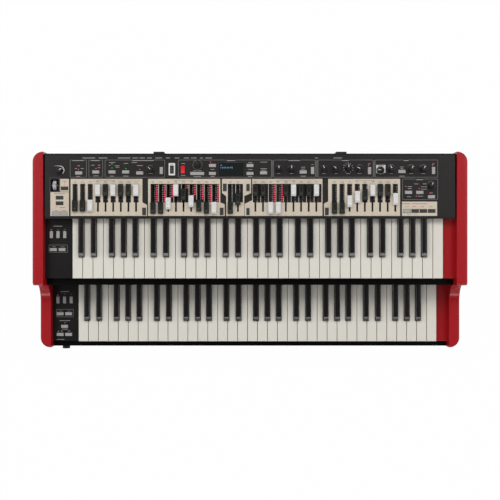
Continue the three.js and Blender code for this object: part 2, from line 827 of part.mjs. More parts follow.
// The bars of the left, right and far groups stand as they were left, their stems set in the frame's top.
function fixedDrawbar(x, y) {
  const seat = -panelThickness - fit - frameSheet / 2;
  const height = [seat, capLift + capCrown / 2];
  const stem = block([-stemWidth / 2, stemWidth / 2], [-stemAhead, stemBehind], height);
  return drawbarCap().add(stem).translate([x, y, panelTop]);
}

function drawbarFrame() {
  const top = panelBottom - fit;
  const bottom = top - frameHeight;
  const front = panelFront + frameFrontGap;
  const rear = homeY + windowBehind + frameMargin;
  const section = outline([[front, bottom], [rear, bottom], [rear, top], [front, top]]);
  section.holes.push(
    new THREE.Path(
      outline([
        [front + frameSheet, bottom + frameSheet], [front + frameSheet, top - frameSheet],
        [rear - frameSheet, top - frameSheet], [rear - frameSheet, bottom + frameSheet],
      ]).getPoints(),
    ),
  );
  const ends = [drawbarGroups[0], drawbarGroups[drawbarGroups.length - 1]];
  const margin = windowWidth / 2 + frameMargin;
  const left = drawbarX(ends[0], 0) - margin;
  const right = drawbarX(ends[1], ends[1].out.length - 1) + margin;
  const tube = alongX(section, [left, right]);
  const through = [top - frameSheet - fit, top + overrun];
  const moving = drawbarGroups.filter((group) => group.moves);
  const slots = moving.flatMap((group) =>
    group.out.map((_, index) => raised(outline(slotOutline(drawbarX(group, index))), through)),
  );
  const opened = cut(tube, [...slots, ...setButtonHoles().map((hole) => raised(outline(hole), through))]);
  const fixed = drawbarGroups.filter((group) => !group.moves);
  const bars = fixed.flatMap((group) =>
    group.out.map((out, index) => fixedDrawbar(drawbarX(group, index), homeY - out * drawbarStep)),
  );
  return join([opened, ...bars]);
}

// The six set buttons stand on one carrier that lies inside the drawbar frame.
function drawbarButtonMat() {
  const { front, rear } = setButtons();
  const top = panelBottom - fit - frameHeight / 2 - carrierSheet;
  const levels = [top - carrierSheet, top];
  const margin = setButtonInset / 2;
  const [[left, low], , [, high]] = front[0];
  const right = front[front.length - 1][1][0];
  const spine = block([left - margin, right + margin], [low - margin, high + margin], levels);
  const [[bridgeLeft], , [, bridgeHigh]] = rear[0];
  const bridgeRight = rear[rear.length - 1][1][0];
  const bridge = block([bridgeLeft - margin, bridgeRight + margin], [high, bridgeHigh + margin], levels);
  const caps = [...front, ...rear].map(
    (cap) => raised(outline(cap), [top - carrierSheet / 2, panelTop + buttonRise]),
  );
  return join([spine, bridge, ...caps]);
}

// Knobs: a skirt that runs just over the panel, a tapering grip and a raised pointer
function knob(name, radius, material) {
  const body = turned([
    [0, 0], [radius, 0], [radius, knobSkirt], [knobWaist, knobSkirt], [knobTop, knobHeight], [0, knobHeight],
  ], knobSides);
  const pointer = block(
    [-pointerWidth / 2, pointerWidth / 2], [0, knobTop - pointerWidth],
    [knobHeight - pointerHeight, knobHeight + pointerHeight],
  );
  const [x, y] = panelPoint(knobPlaceShares[name]);
  const mesh = piece(name, body.add(pointer), material, x, y, panelTop + fit);
  mesh.rotation.z = THREE.MathUtils.degToRad(knobTurns[name] ?? 0);
  return mesh;
}

// Lever: a half wheel on two pins in the panel's well
function lever() {
  const wheel = new THREE.Shape();
  wheel.absarc(0, 0, leverRadius, -Math.PI / 6, Math.PI + Math.PI / 6, false);
  const body = alongX(wheel, [-leverWidth / 2, leverWidth / 2], 12);
  const reach = wellWidth / 2 - fit;
  const pin = alongX(
    new THREE.Shape().absarc(0, 0, leverPinRadius, 0, 2 * Math.PI, false), [-reach, reach], 3,
  );
  const [x, y] = panelPoint(leverShare);
  return piece("speed_lever", body.add(pin), finishes.silver, x, y, panelTop + leverRise - leverRadius);
}

// Rocker switch, built level with its pivot at the origin
function rockerSolid(width, length) {
  const half = length / 2;
  const side = outline([
    [-half, -rockerDepth], [half, -rockerDepth], [half, rockerRise], [0, rockerRise - rockerHollow],
    [-half, rockerRise],
  ]);
  return alongX(side, [-width / 2, width / 2]);
}

function rocker(name, material) {
  const [x, y] = panelPoint(rockerShares[name]);
  const [width, length] = rockerSizes[name];
  return piece(name, rockerSolid(width, length), material, x, y, panelTop - panelThickness / 2);
}

function mainsSwitch() {
  const x = (mainsSwitchShare - 1 / 2) * innerWidth;
  const z = trayFloor + socketHeight;
  const solid = rockerSolid(mainsSwitchWidth, mainsSwitchHeight);
  const mesh = piece("mains_switch", solid, finishes.rubber, x, panelRear - sheet / 2, z);
  mesh.rotation.x = -Math.PI / 2;
  return mesh;
}

// Boards and sockets behind the rear wall
function mainBoard() {
  const xs = jackShares.map((share) => (share - 1 / 2) * innerWidth);
  const dins = dinShares.map((share) => (share - 1 / 2) * innerWidth);
  const usbX = (usbShare - 1 / 2) * innerWidth;
  const z = trayFloor + socketHeight;
  const rear = panelRear - sheet - fit;
  const boardTop = trayFloor + standoffHeight + boardSheet;
  const left = xs[0] - jackBody;
  const right = usbX + jackBody;
  const board = block([left, right], [rear - boardDepth, rear], [boardTop - boardSheet, boardTop]);
  const jacks = xs.flatMap((x) => [
    block([x - jackBody / 2, x + jackBody / 2], [rear - jackDepth, rear], [boardTop - fit, z + jackBody / 2]),
    rod(jackRadius, [rear - sheet, panelRear + jackProud], nutSides, x, z),
  ]);
  const boreSpan = [rear - jackDepth + sheet, panelRear + overrun];
  const jackBores = xs.map((x) => rod(jackBore, boreSpan, boreSides, x, z));
  const dinBodies = dins.flatMap((x) => [
    block([x - dinBody / 2, x + dinBody / 2], [rear - jackDepth, rear], [boardTop - fit, z + dinBody / 2]),
    rod(dinRadius, [rear - sheet, panelRear + jackProud / 2], dinSides, x, z),
  ]);
  const dinBores = dins.map((x) => rod(dinBore, [rear - jackDepth / 2, panelRear + overrun], dinSides, x, z));
  const usb = block(
    [usbX - usbWidth / 2, usbX + usbWidth / 2], [rear - jackDepth, panelRear],
    [boardTop - fit, z + usbHeight / 2],
  );
  const usbMouth = block(
    [usbX - usbMouthWidth / 2, usbX + usbMouthWidth / 2], [rear - jackDepth / 2, panelRear + overrun],
    [z - usbMouthHeight / 2, z + usbMouthHeight / 2],
  );
  const usbThrough = block(
    [usbX - usbWidth, usbX + usbWidth], [rear + fit / 2, panelRear + overrun],
    [boardTop - overrun, z - usbHeight / 2],
  );
  const legHeight = [trayFloor + fit, boardTop - fit];
  const legInset = 2 * standoffRadius;
  const legs = [left + standoffRadius, right - standoffRadius].flatMap((x) => [
    post(standoffRadius, legHeight, standoffSides, x, rear - legInset),
    post(standoffRadius, legHeight, standoffSides, x, rear - boardDepth + legInset),
  ]);
  const whole = join([board, ...jacks, ...dinBodies, usb, ...legs]);
  return cut(whole, [...jackBores, ...dinBores, usbMouth, usbThrough]);
}

function powerSupply() {
  const x = (inletShare - 1 / 2) * innerWidth;
  const z = trayFloor + socketHeight;
  const rear = panelRear - sheet - fit;
  const halfHeight = inletHeight / 2;
  const housing = block(
    [x - 2 * inletWidth + mainsSwitchWidth, x + 2 * inletWidth],
    [rear - boardDepth, rear - inletDepth - sheet], [trayFloor + fit, z + halfHeight + inletWall],
  );
  const inlet = block(
    [x - inletWidth / 2, x + inletWidth / 2], [rear - inletDepth - 2 * sheet, panelRear + jackProud / 2],
    [z - halfHeight, z + halfHeight],
  );
  const mouth = block(
    [x - inletWidth / 2 + inletWall, x + inletWidth / 2 - inletWall],
    [rear - inletDepth, panelRear + overrun], [z - halfHeight + inletWall, z + halfHeight - inletWall],
  );
  const pins = [-inletPinSpacing, 0, inletPinSpacing].map((offset) => {
    const height = z + (offset === 0 ? inletPin : -inletPin / 2);
    return block(
      [x + offset - inletPin / 2, x + offset + inletPin / 2],
      [rear - inletDepth - inletPin / 2, rear - inletDepth / 3],
      [height - inletPinHeight / 2, height + inletPinHeight / 2],
    );
  });
  return join([cut(housing.add(inlet), [mouth]), ...pins]);
}

function foot(name, handX, handY) {
  const top = footHeight - fit;
  const solid = turned([
    [0, 0], [footRadius - footTaper, 0], [footRadius, top], [0, top],
  ], footSides);
  const x = handX * (innerHalf - footInset);
  const y = (panelRear + trayFront) / 2 + handY * (cheekDepth / 2 - footInset);
  return piece(name, solid, finishes.rubber, x, y, 0);
}

const organ = new THREE.Group();

const cabinet = new THREE.Group();
cabinet.add(
  piece("bottom_tray", tray(), finishes.black),
  piece("left_cheek", cheek(-1), finishes.red),
  piece("right_cheek", join([
    cheek(1),
    keyLedge(upperKeyFront, upperKeyHeight, upperBlockDrop),
    keyLedge(lowerKeyFront, lowerKeyHeight, lowerBlockDrop),
  ]), finishes.red),
  piece("upper_front_rail", upperRail(), finishes.black),
  foot("foot_front_left", -1, -1),
  foot("foot_front_right", 1, -1),
  foot("foot_rear_left", -1, 1),
  foot("foot_rear_right", 1, 1),
  piece("main_board", mainBoard(), finishes.board),
  piece("power_supply", powerSupply(), finishes.steel),
  mainsSwitch(),
);
organ.add(cabinet);

const lowerLeg = lowerKeyHeight - trayFloor - fit;
const lowerManual = manual("lower", lowerLeg, lowerLeg, lowerBlockDrop);
lowerManual.position.set(keyboardLeft, lowerKeyFront, lowerKeyHeight);
organ.add(lowerManual);

const upperFrontLeg = upperKeyHeight - railBottom - sheet;
const upperRearLeg = upperKeyHeight - trayFloor - fit;
const upperManual = manual("upper", upperFrontLeg, upperRearLeg, upperBlockDrop);
upperManual.position.set(keyboardLeft, upperKeyFront, upperKeyHeight);
organ.add(upperManual);

const controls = new THREE.Group();
const [lensX, lensY] = panelPoint(displayShare);
controls.add(
  piece("control_panel", controlPanel(), finishes.black),
  piece("drawbar_frame", drawbarFrame(), finishes.darkCap),
  piece("display_window", block(
    [-displayWidth / 2, displayWidth / 2], [-displayLength / 2, displayLength / 2],
    [-displayThickness, fit / 2],
  ), finishes.glass, lensX, lensY, panelTop),
  piece("drawbar_set_buttons", drawbarButtonMat(), finishes.darkButton),
  lever(),
  rocker("white_rocker", finishes.darkButton),
  rocker("red_rocker", finishes.redButton),
);
for (const [name, shares] of Object.entries(panelButtonShares)) {
  const caps = buttonOutlines(shares, panelPlaces);
  controls.add(piece(name, buttonMat(caps, panelTop, panelBottom, shares.column), finishes.greyButton));
}
for (const name of Object.keys(knobPlaceShares)) {
  const radius = name === "program_dial" ? dialRadius : knobRadius;
  controls.add(knob(name, radius, finishes.ebony));
}
const whiteBars = [2, 3, 5, 8];
for (const group of drawbarGroups.filter((each) => each.moves)) {
  group.out.forEach((out, index) => {
    const white = group.name === "main" && whiteBars.includes(index);
    const material = white ? finishes.whiteCap : finishes.darkCap;
    const name = "drawbar_" + group.name + "_" + (index + 1);
    controls.add(movingDrawbar(name, drawbarX(group, index), homeY - out * drawbarStep, material));
  });
}
organ.add(controls);

export default organ;
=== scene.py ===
"""The dressed stage organ: every visible piece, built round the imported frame.

It is laid out as an add-on: sizes and colours in property groups, one operator for each kind of piece
and a panel in the sidebar that lists them. Lengths in the functions are millimetres.
"""
import json
import math

import bmesh
import bpy
from mathutils import Matrix, Vector

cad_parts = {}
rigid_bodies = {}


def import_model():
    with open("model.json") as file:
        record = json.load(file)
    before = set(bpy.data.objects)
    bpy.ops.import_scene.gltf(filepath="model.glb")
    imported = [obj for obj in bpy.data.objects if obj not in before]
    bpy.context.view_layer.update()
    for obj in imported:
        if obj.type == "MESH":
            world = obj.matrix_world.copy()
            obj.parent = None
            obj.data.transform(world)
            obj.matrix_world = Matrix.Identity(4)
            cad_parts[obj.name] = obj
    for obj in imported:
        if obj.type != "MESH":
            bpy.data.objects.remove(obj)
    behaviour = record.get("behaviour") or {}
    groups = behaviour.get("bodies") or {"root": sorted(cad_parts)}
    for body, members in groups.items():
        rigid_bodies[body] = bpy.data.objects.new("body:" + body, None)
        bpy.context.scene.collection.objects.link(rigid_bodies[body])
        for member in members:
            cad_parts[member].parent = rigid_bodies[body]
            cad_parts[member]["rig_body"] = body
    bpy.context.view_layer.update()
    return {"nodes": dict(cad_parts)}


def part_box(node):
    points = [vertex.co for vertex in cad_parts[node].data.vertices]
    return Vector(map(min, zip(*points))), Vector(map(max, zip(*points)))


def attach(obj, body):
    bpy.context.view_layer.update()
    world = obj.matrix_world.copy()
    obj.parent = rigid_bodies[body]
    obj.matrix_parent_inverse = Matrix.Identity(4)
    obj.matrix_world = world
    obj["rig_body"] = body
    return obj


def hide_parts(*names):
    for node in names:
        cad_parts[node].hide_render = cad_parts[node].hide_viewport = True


bl_info = {
    "name": "Stage Organ",
    "version": (1, 0, 0),
    "blender": (4, 5, 0),
    "location": "3D View > Sidebar > Organ",
    "description": "Builds the pieces of a stage organ with two manuals round its packed frame",
    "category": "Object",
}

for leftover in list(bpy.data.objects):
    bpy.data.objects.remove(leftover, do_unlink=True)

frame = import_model()
NODES = frame["nodes"]
MM = 0.001


def span(node):
    """Lowest and highest corner of a node of the frame, in millimetres."""
    low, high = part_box(node)
    return [value / MM for value in low], [value / MM for value in high]


def body_of(node):
    """The body that a node of the frame moves with."""
    return NODES[node]["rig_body"]


def middle_of(node):
    """The middle of a node from above."""
    low, high = span(node)
    return (low[0] + high[0]) / 2, (low[1] + high[1]) / 2


# Places read from the frame
PANEL_LOW, PANEL_HIGH = span("control_panel")
PANEL_TOP = PANEL_HIGH[2]
PANEL_FRONT = PANEL_LOW[1]
TRAY_LOW = span("bottom_tray")[0]
INNER_HALF = -span("left_cheek")[1][0]
OUTER_HALF = -span("left_cheek")[0][0]
FRONT = span("left_cheek")[0][1]
REAR_WALL = PANEL_HIGH[1]
HEADPHONE_SHARE = 0.0295
HEADPHONE_Z = span("foot_front_left")[1][2] + 19.0

# Sizes of the keys, the same as the frame's
KEY_GAP = 1.0
NATURALS = 36
OCTAVE = 7
OCTAVES = 5
LIP_DROP = 22.0
LIP_DEPTH = 4.0
KEY_BODY = 14.0
BODY_LENGTH = 141.0
HINGE_REACH = 200.0
RAIL_HALF = 7.0
RAIL_SHEET = 2.6
SHARP_FRONT = 49.0
SHARP_LENGTH = 90.0
SHARP_WIDTH = 13.0
SHARP_TOP_WIDTH = 11.8
SHARP_HEIGHT = 12.0
# Distance from a sharp's front and height there
SHARP_FRONT_PROFILE = (
    (0.0, 0.3), (0.5, 2.5), (1.2, 5.1), (1.9, 7.1), (2.5, 7.6), (3.0, 8.1), (6.0, 9.8), (9.0, 11.5),
    (9.8, 11.85), (11.2, SHARP_HEIGHT),
)
SHARP_CLEARANCE = 0.4
SHOULDER_CLEARANCE = 0.9
SHARP_OFFSETS = {0: -0.11, 1: 0.094, 3: -0.153, 4: 0.0, 5: 0.128}
COMB_NOTES = {"cegb": (0, 2, 4, 6), "dfa": (1, 3, 5)}
COMB_LEVELS = {"cegb": -4.0, "dfa": -7.4, "sharps": -10.8}

# Drawbars
BAR_PITCH = 17.25
BAR_STEP = 5.0
BAR_HOME = PANEL_FRONT + 0.435 * (PANEL_HIGH[1] - PANEL_FRONT)
CAP_WIDTH = 12.1
CAP_LENGTH = 26.7
PANEL_WIDTH = PANEL_HIGH[0] - PANEL_LOW[0]
# Each group: its first bar's place as a share of the panel's width, and the steps that each is pulled out
BAR_GROUPS = {
    "left": (0.0738, (7, 7, 7, 0, 0, 0, 0, 0, 0)),
    "main": (0.2638, (8, 8, 6, 0, 2, 5, 7, 8, 8)),
    "bass": (0.452, (8, 4)),
    "right": (0.5131, (0, 0, 8, 8, 0, 0, 0, 0, 0)),
    "far": (0.7056, (8, 8, 5, 3, 2, 0, 0, 0, 4)),
}
SLIDING_GROUPS = ("main", "bass")
STANDING_GROUPS = ("left", "right", "far")
LIT_GROUPS = ("main", "right")
LAMPS_PER_BAR = 8
WHITE_BARS = (2, 3, 5, 8)
WINDOW_REAR = BAR_HOME + 14.25
WINDOW_FRONT = BAR_HOME - 27.4


def bars(name):
    """The X of each bar of a group, and the steps that it is pulled out."""
    share, outs = BAR_GROUPS[name]
    first = PANEL_LOW[0] + share * PANEL_WIDTH
    return [(first + index * BAR_PITCH, out) for index, out in enumerate(outs)]


def wall_x(share):
    """A place between the cheeks, from the left."""
    return (share - 0.5) * 2 * INNER_HALF


def rotation(degrees, axis):
    """A turn about an axis."""
    return Matrix.Rotation(math.radians(degrees), 4, axis)


def colour(red, green, blue):
    """A screen colour of 0 to 255 as the linear colour that shaders take."""
    values = [value / 255 for value in (red, green, blue)]
    return tuple(v / 12.92 if v <= 0.04045 else ((v + 0.055) / 1.055) ** 2.4 for v in values) + (1.0,)


def length_property(label, note, value):
    """A length that a user can change, kept in metres."""
    return bpy.props.FloatProperty(
        name=label, description=note, default=value * MM, unit="LENGTH", precision=4,
    )


def colour_property(label, note, red, green, blue):
    """A colour that a user can change."""
    return bpy.props.FloatVectorProperty(
        name=label, description=note, default=colour(red, green, blue), size=4, min=0.0, max=1.0,
        subtype="COLOR",
    )


class OrganSizes(bpy.types.PropertyGroup):
    """Sizes of the fine forms"""

    key_front_radius: length_property("Key front radius", "Rounding of a natural's front edge", 3.0)
    key_edge: length_property("Key edge", "Rounding of a natural's side edges", 0.55)
    sharp_edge: length_property("Sharp edge", "Rounding along the top of a sharp", 1.3)
    cheek_edge: length_property("Cheek edge", "Rounding along the cheeks' top", 3.2)
    sheet_edge: length_property("Sheet edge", "Rounding of folded and cut sheet", 0.35)
    button_edge: length_property("Button edge", "Rounding of the rubber buttons", 1.1)
    cap_dish: length_property("Cap dish", "Depth of the finger hollow in a drawbar's cap", 0.9)
    knob_flute: length_property("Knob flute", "Depth of the flutes in a knob's grip", 0.28)
    print_height: length_property("Print height", "Thickness of the printed areas", 0.12)
    lamp_radius: length_property("Lamp radius", "Radius of the panel's small lamps", 1.15)
    knob_flutes: bpy.props.IntProperty(
        name="Knob flutes", description="Number of flutes round a knob's grip", default=18, min=6, max=40,
    )


class OrganColours(bpy.types.PropertyGroup):
    """Colours of the finishes"""

    lacquer: colour_property("Lacquer", "Red lacquer of the cheeks", 164, 18, 27)
    panel: colour_property("Panel", "Black paint of the panel", 37, 33, 34)
    plastic: colour_property("Plastic", "Black plastic of the blocks beside the manuals", 20, 17, 18)
    ivory: colour_property("Ivory", "Tops of the naturals", 224, 221, 212)
    # Painted shade: the naturals' sides are the same plastic as their tops; this darker tan stands for the
    # shade in the gaps between the keys.
    key_side: colour_property("Key side", "Sides of the naturals", 176, 150, 116)
    ebony: colour_property("Ebony", "Sharps", 17, 13, 14)
    cream: colour_property("Cream", "Cream print round the drawbars", 205, 193, 176)
    grey_print: colour_property("Grey print", "Thin frames and small marks", 150, 149, 150)
    white_print: colour_property("White print", "Ticks and numerals", 214, 214, 214)
    dark_cap: colour_property("Dark cap", "Dark drawbar caps", 16, 19, 14)
    white_cap: colour_property("White cap", "White drawbar caps", 216, 216, 215)
    grey_rubber: colour_property("Grey rubber", "Grey buttons", 160, 160, 159)
    dark_rubber: colour_property("Dark rubber", "Dark buttons", 42, 46, 45)
    red_plastic: colour_property("Red plastic", "Red rocker", 205, 22, 30)
    lamp_red: colour_property("Lamp red", "Lit red lamps", 246, 68, 100)
    lamp_green: colour_property("Lamp green", "Lit green lamps", 60, 190, 80)
    figures: colour_property("Figures", "Lit figures of the display", 128, 190, 226)


def size(name):
    """A size of the fine forms, in millimetres."""
    return getattr(bpy.context.scene.organ_sizes, name) / MM


def tint(name):
    """A colour of the finishes."""
    return tuple(getattr(bpy.context.scene.organ_colours, name))


# Shader groups: effects that several finishes share


def add_node(tree, kind, inputs=None, **settings):
    """Adds a node, sets its options and its inputs. An input is a value or the socket that feeds it."""
    node = tree.nodes.new(kind)
    for key, value in settings.items():
        setattr(node, key, value)
    for key, value in (inputs or {}).items():
        if isinstance(value, bpy.types.NodeSocket):
            tree.links.new(value, node.inputs[key])
        else:
            node.inputs[key].default_value = value
    return node


def worked_out(tree, operation, *values, **settings):
    """The result of one step of arithmetic on sockets or numbers."""
    inputs = dict(enumerate(values))
    return add_node(tree, "ShaderNodeMath", inputs, operation=operation, **settings).outputs[0]


def noise(tree, place, scale, **settings):
    """Noise of a shader group: the socket of its strength."""
    inputs = {"Vector": place, "Scale": scale, **settings}
    return add_node(tree, "ShaderNodeTexNoise", inputs).outputs["Fac"]


def effect(name, inputs, output, build):
    """A shader group of named sockets, built when it is first asked for."""
    if name not in bpy.data.node_groups:
        group = bpy.data.node_groups.new(name, "ShaderNodeTree")
        for label, kind in (("Place", "Vector"), ("Scale", "Float"), *inputs):
            group.interface.new_socket(name=label, in_out="INPUT", socket_type="NodeSocket" + kind)
        group.interface.new_socket(name=output[0], in_out="OUTPUT", socket_type="NodeSocket" + output[1])
        entry = group.nodes.new("NodeGroupInput")
        add_node(group, "NodeGroupOutput", {output[0]: build(group, entry.outputs)})
    return bpy.data.node_groups[name]


def colour_drift():
    """Slow change of lightness over a surface."""
    def build(group, entry):
        centred = worked_out(group, "SUBTRACT", noise(group, entry["Place"], entry["Scale"], Detail=3.0), 0.5)
        value = worked_out(group, "MULTIPLY_ADD", centred, entry["Amount"], 1.0)
        inputs = {"Value": value, "Color": entry["Colour"]}
        return add_node(group, "ShaderNodeHueSaturation", inputs).outputs["Color"]

    return effect("Colour Drift", (("Colour", "Color"), ("Amount", "Float")), ("Colour", "Color"), build)


def surface_grain():
    """Fine height of moulded or sprayed skin."""
    def build(group, entry):
        place, scale = entry["Place"], entry["Scale"]
        cells = add_node(group, "ShaderNodeTexVoronoi", {"Vector": place, "Scale": scale})
        skin = noise(group, place, scale, Detail=4.0)
        return worked_out(group, "MULTIPLY_ADD", cells.outputs["Distance"], entry["Speck"], skin)

    return effect("Surface Grain", (("Speck", "Float"),), ("Height", "Float"), build)


def stretched(group, place, **settings):
    """A place drawn out along one axis."""
    return add_node(group, "ShaderNodeMapping", {"Vector": place, **settings}).outputs["Vector"]


def handling_marks():
    """Roughness with the smears and hairlines of use."""
    def build(group, entry):
        place, scale = entry["Place"], entry["Scale"]
        smears = noise(group, place, scale, Detail=5.0, Roughness=0.62, Distortion=0.6)
        along = stretched(group, place, Rotation=(0.3, 0.2, 0.6), Scale=(1.0, 14.0, 1.0))
        both = worked_out(group, "ADD", smears, noise(group, along, scale, Detail=6.0))
        centred = worked_out(group, "SUBTRACT", both, 1.0)
        return worked_out(group, "MULTIPLY_ADD", centred, entry["Amount"], entry["Roughness"], use_clamp=True)

    inputs = (("Roughness", "Float"), ("Amount", "Float"))
    return effect("Handling Marks", inputs, ("Roughness", "Float"), build)


def brushed_lines():
    """Height of fine lines that run along X."""
    def build(group, entry):
        along = stretched(group, entry["Place"], Scale=(0.04, 1.0, 1.0))
        return noise(group, along, entry["Scale"], Detail=5.0)

    return effect("Brushed Lines", (), ("Height", "Float"), build)


def mottled_print():
    """Colour of a printed area: small lighter and darker flecks."""
    def build(group, entry):
        share = add_node(group, "ShaderNodeMapRange", {
            "Value": noise(group, entry["Place"], entry["Scale"], Detail=6.0, Roughness=0.75),
            "From Min": 0.45, "From Max": 0.75, "To Min": 0.0, "To Max": entry["Amount"],
        })
        # The mix of colours has its factor, its two colours and its result at these places
        inputs = {0: share.outputs["Result"], 6: entry["Colour"], 7: entry["Fleck"]}
        return add_node(group, "ShaderNodeMix", inputs, data_type="RGBA").outputs[2]

    inputs = (("Colour", "Color"), ("Fleck", "Color"), ("Amount", "Float"))
    return effect("Mottled Print", inputs, ("Colour", "Color"), build)


def place_group(tree, group, **inputs):
    """A shader group in a material, with its inputs set."""
    return add_node(tree, "ShaderNodeGroup", inputs, node_tree=group).outputs[0]


# Finishes. Each one is a material with its pattern on Object coordinates.

GRAIN_DEPTH = 0.0003
BRUSH_DEPTH = 0.0002
PRINT = (0.5, (0.06, 60.0), None, (0.1, 60.0), {})
# Each finish has its colour, roughness, drift, grain, handling marks and other settings. The colour is
# the name of one that a user can change or a screen colour. Drift and marks are amount and scale, grain
# is scale, height and speck.
FINISHES = {
    "lacquer": ("lacquer", 0.3, (0.05, 5.0), (420.0, 0.02, 0.1), (0.05, 14.0), {
        "Specular IOR Level": 0.25, "coat": (0.35, 0.12),
    }),
    "panel_paint": ("panel", 0.4, (0.1, 9.0), (1500.0, 0.12, 0.5), (0.12, 20.0), {
        "fleck": ((64, 60, 61), 0.5, 900.0), "Specular IOR Level": 0.22,
    }),
    # Near-black paint of the tray and front rail, darker than the panel's black: real black paint with the
    # deep shade between the manuals painted into it.
    "rail_paint": ((6, 5, 6), 0.32, (0.08, 9.0), (1400.0, 0.08, 0.5), (0.1, 20.0), {
        "Specular IOR Level": 0.12,
    }),
    "block_plastic": ("plastic", 0.38, (0.08, 14.0), (1700.0, 0.1, 0.6), (0.12, 26.0), {
        "Specular IOR Level": 0.25,
    }),
    "ivory": ("ivory", 0.34, (0.025, 16.0), (900.0, 0.02, 0.3), (0.1, 40.0), {"coat": (0.25, 0.2)}),
    # Painted shade: the darker tan on the naturals' sides stands for the shade in the gaps between the keys.
    "ivory_side": ("key_side", 0.5, (0.1, 30.0), (900.0, 0.05, 0.3), (0.1, 60.0), {}),
    "ebony": ("ebony", 0.22, (0.15, 40.0), (1200.0, 0.03, 0.3), (0.1, 50.0), {
        "Specular IOR Level": 0.4, "coat": (0.5, 0.16),
    }),
    "dark_cap": ("dark_cap", 0.4, (0.16, 90.0), (1500.0, 0.06, 0.5), (0.14, 90.0), {
        "Specular IOR Level": 0.35,
    }),
    "white_cap": ("white_cap", 0.36, (0.03, 90.0), (1500.0, 0.04, 0.5), (0.12, 90.0), {}),
    "stem": ((14, 14, 15), 0.5, (0.1, 60.0), (1500.0, 0.05, 0.5), (0.1, 60.0), {"Specular IOR Level": 0.3}),
    "window_bed": ((15, 15, 16), 0.55, (0.12, 30.0), (1300.0, 0.1, 0.6), (0.1, 50.0), {
        "Specular IOR Level": 0.3,
    }),
    "grey_rubber": ("grey_rubber", 0.62, (0.06, 70.0), (1900.0, 0.12, 0.8), (0.12, 70.0), {}),
    "dark_rubber": ("dark_rubber", 0.58, (0.14, 70.0), (1900.0, 0.12, 0.8), (0.12, 70.0), {}),
    # Painted light: the red rocker is plain plastic, yet it is given a faint glow of its own red.
    "red_plastic": ("red_plastic", 0.34, (0.05, 80.0), (1300.0, 0.04, 0.4), (0.1, 70.0), {"glow": 0.12}),
    "cream": ("cream", 0.5, (0.03, 26.0), (1500.0, 0.05, 0.4), (0.1, 40.0), {
        "fleck": ((152, 138, 118), 0.35, 420.0),
    }),
    "grey_print": ("grey_print", *PRINT),
    "dim_print": ((120, 118, 119), *PRINT),
    "band_print": ((76, 73, 75), *PRINT),
    "white_print": ("white_print", 0.5, (0.05, 60.0), None, (0.1, 60.0), {}),
    "dark_print": ((52, 48, 44), 0.55, (0.08, 60.0), None, (0.1, 60.0), {}),
    "black_print": ((12, 11, 12), 0.45, (0.08, 40.0), None, (0.1, 50.0), {"Specular IOR Level": 0.3}),
    "knob_rubber": ((13, 12, 13), 0.36, (0.12, 90.0), (1700.0, 0.06, 0.5), (0.12, 90.0), {}),
    "foot_rubber": ((24, 23, 23), 0.82, (0.14, 50.0), (1100.0, 0.25, 0.8), (0.1, 60.0), {}),
    "steel": ((178, 180, 182), 0.34, (0.05, 20.0), None, (0.14, 30.0), {
        "brush": (900.0, 0.12), "Metallic": 1.0,
    }),
    "chassis_steel": ((122, 125, 126), 0.48, (0.08, 12.0), None, (0.16, 20.0), {
        "brush": (700.0, 0.2), "Metallic": 0.9,
    }),
    "polished": ((206, 207, 208), 0.2, (0.03, 60.0), None, (0.1, 80.0), {
        "brush": (1500.0, 0.05), "Metallic": 1.0,
    }),
    "satin_metal": ((172, 173, 176), 0.5, (0.05, 60.0), None, (0.1, 80.0), {
        "brush": (1200.0, 0.08), "Metallic": 0.55,
    }),
    "board": ((24, 66, 42), 0.42, (0.14, 60.0), (900.0, 0.1, 0.4), (0.12, 30.0), {
        "fleck": ((52, 108, 66), 0.8, 240.0),
    }),
    "lamp_red": ("lamp_red", 0.35, (0.04, 300.0), None, (0.05, 200.0), {"glow": 0.62, "dim": 0.5}),
    "lamp_green": ("lamp_green", 0.35, (0.04, 300.0), None, (0.05, 200.0), {"glow": 0.6, "dim": 0.5}),
    "figures": ("figures", 0.35, (0.04, 300.0), None, (0.05, 200.0), {"glow": 0.75, "dim": 0.5}),
    "lamp_off": ((40, 20, 23), 0.4, (0.08, 100.0), None, (0.12, 30.0), {}),
    "lens": ((20, 24, 24), 0.08, (0.05, 60.0), None, (0.05, 40.0), {"coat": (1.0, 0.03)}),
}


def finish(name):
    """One of the organ's finishes by its name, made when it is first asked for."""
    if name not in bpy.data.materials:
        base, *settings, others = FINISHES[name]
        surface(name, tint(base) if isinstance(base, str) else colour(*base), *settings, **others)
    return bpy.data.materials[name]


